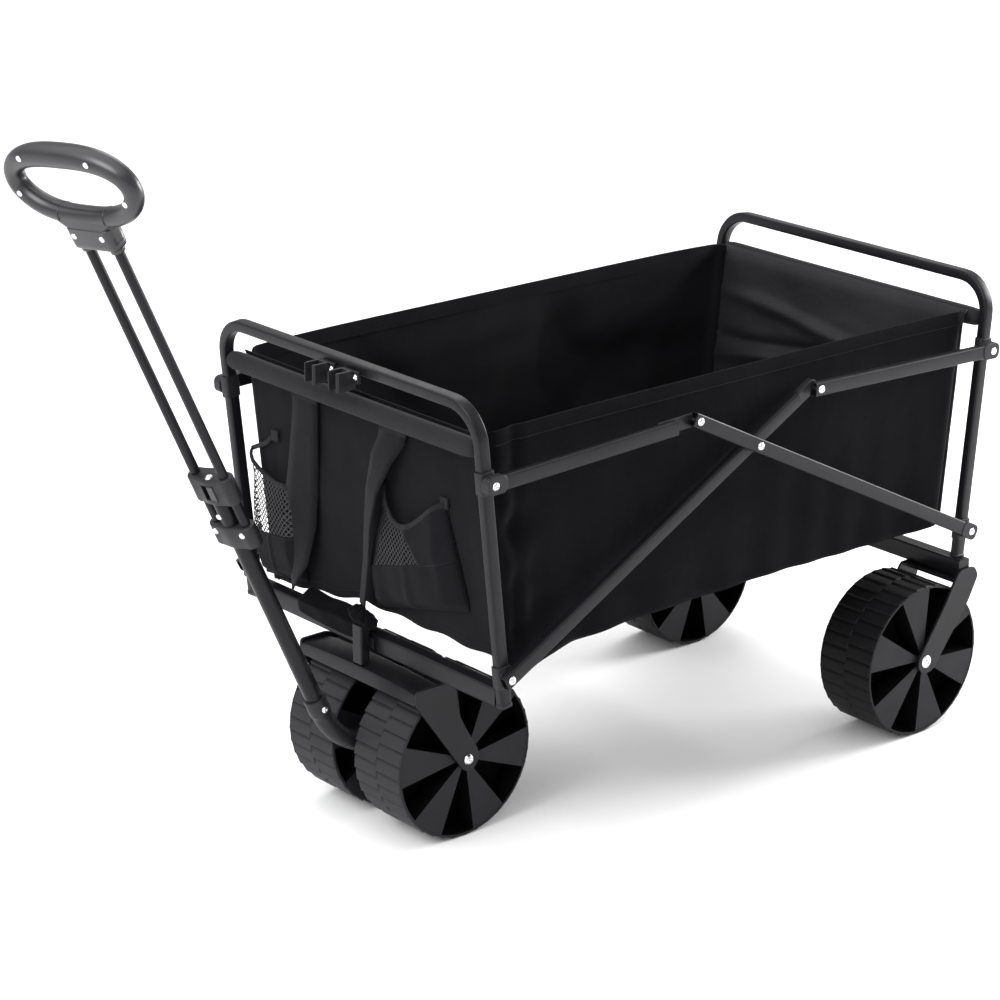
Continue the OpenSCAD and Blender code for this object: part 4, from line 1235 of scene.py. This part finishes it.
def straps():
    strap("strap_far", "strap_left",
          [(0.106, 0.540, 0.0035), (0.110, 0.510, 0.0040), (0.122, 0.450, 0.0050), (0.132, 0.400, 0.0065),
           (0.139, 0.356, 0.0100), (0.147, 0.305, 0.0150), (0.158, 0.262, 0.0200)],
          [0.050, 0.050, 0.052, 0.054, 0.056, 0.048, 0.010], [0, 0, 5, 10, 8, -4, -34])
    strap("strap_near", "strap_right",
          [(-0.067, 0.540, 0.0035), (-0.062, 0.518, 0.0050), (-0.044, 0.492, 0.0090), (-0.025, 0.446, 0.0150),
           (-0.012, 0.400, 0.0160), (-0.002, 0.350, 0.0160), (0.015, 0.283, 0.0170)],
          [0.050, 0.050, 0.048, 0.040, 0.034, 0.032, 0.030], [0, 0, -8, -21, -26, -27, -27])
    z = 0.534
    patches = [block((front_face(z, 0.0062), y - 0.0255, z - 0.006),
                     (front_face(z, 0.0046), y + 0.0255, z + 0.008)) for y in (0.106, -0.067)]
    add("strap_patches", join(patches), FRONT, BINDING, smooth=False, bevel=(0.0007, 2))


def rail_flap():
    """Loose cloth flap from the panel's bottom that lies over the front rail beside the post."""
    def shape(u, v):
        y = 0.012 + 0.125 * u
        run = v * 0.048
        if run < 0.026:
            x, z = -0.388 - run * 0.75, 0.268 - 0.010 * (run / 0.026)
        else:
            drop = run - 0.026
            x, z = -0.4075 - 0.003 * sin(pi * v), 0.258 - drop * 0.95 * (0.75 + 0.25 * sin(pi * u))
        return at(x - 0.0015 * wave(u, v, 0, 3, 6.1), y, z + 0.003 * wave(u * 1.5, v, 0, 2.4, 9.9))

    # darker cloth: painted shade on the flap under the basket
    grid_piece("front_rail_flap", shape, 30, 24, FRONT, SHADED_CLOTH, thick=0.0016,
               flat=(0.125, 0.060))


def post_bundle():
    """Cloth gathered and tied on top of the post."""
    lumps = []
    rows, cols = 12, 20
    for cx, cy, cz, rx, ry, rz, seed in ((-0.413, 0.002, 0.2745, 0.012, 0.017, 0.010, 1.0),
                                         (-0.412, -0.010, 0.2715, 0.010, 0.012, 0.009, 2.0),
                                         (-0.411, 0.013, 0.2760, 0.010, 0.013, 0.010, 3.0)):
        verts = []
        for i in range(rows + 1):
            for j in range(cols):
                a, b = pi * i / rows, 2 * pi * j / cols
                d = Vector((sin(a) * cos(b), sin(a) * sin(b), cos(a)))
                k = 1 + 0.22 * noise.noise(d * 1.8 + Vector((seed, 0, 0))) + 0.10 * sin(5 * b + seed)
                verts.append(at(cx + rx * d.x * k, cy + ry * d.y * k, cz + rz * d.z * k))
        lumps.append((verts, skin(rows + 1, cols, True)))
    # darker cloth: painted shade on the gathered bundle
    add("post_bundle", join(lumps), FRONT, SHADED_CLOTH)


# ---------- build ----------
make_camera()
make_stage()
for side_sign, body_name in ((1, REAR), (-1, FRONT)):
    end_frame(side_sign, body_name)
    pivot_plates(side_sign, body_name)
side_pieces(-1, "near")
side_pieces(1, "far")
all_wheels()
rails()
forks()
truck()
hooks()
lower_handle()
upper_handle()
side_wall("near")
side_wall("far")
rear_wall()
front_wall()
hem_rolls()
floor_mat()
pocket("pocket_far_side", 0.146, 0.238, "pocket_left",
       lambda u: 0.272 - 0.012 * u, lambda u: 0.335 - 0.008 * u,
       lambda u: 0.401 + 0.030 * max(0, (u - 0.35) / 0.65) ** 1.6, (0.182, 0.463))
pocket("pocket_near_side", -0.178, 0.004, "pocket_right",
       lambda u: 0.328 - 0.046 * u, lambda u: 0.394 - 0.052 * u,
       lambda u: 0.459 - 0.046 * sin(pi * u ** 1.5), (-0.151, 0.462), 1.0, gusset=0.33)
straps()
rail_flap()
post_bundle()
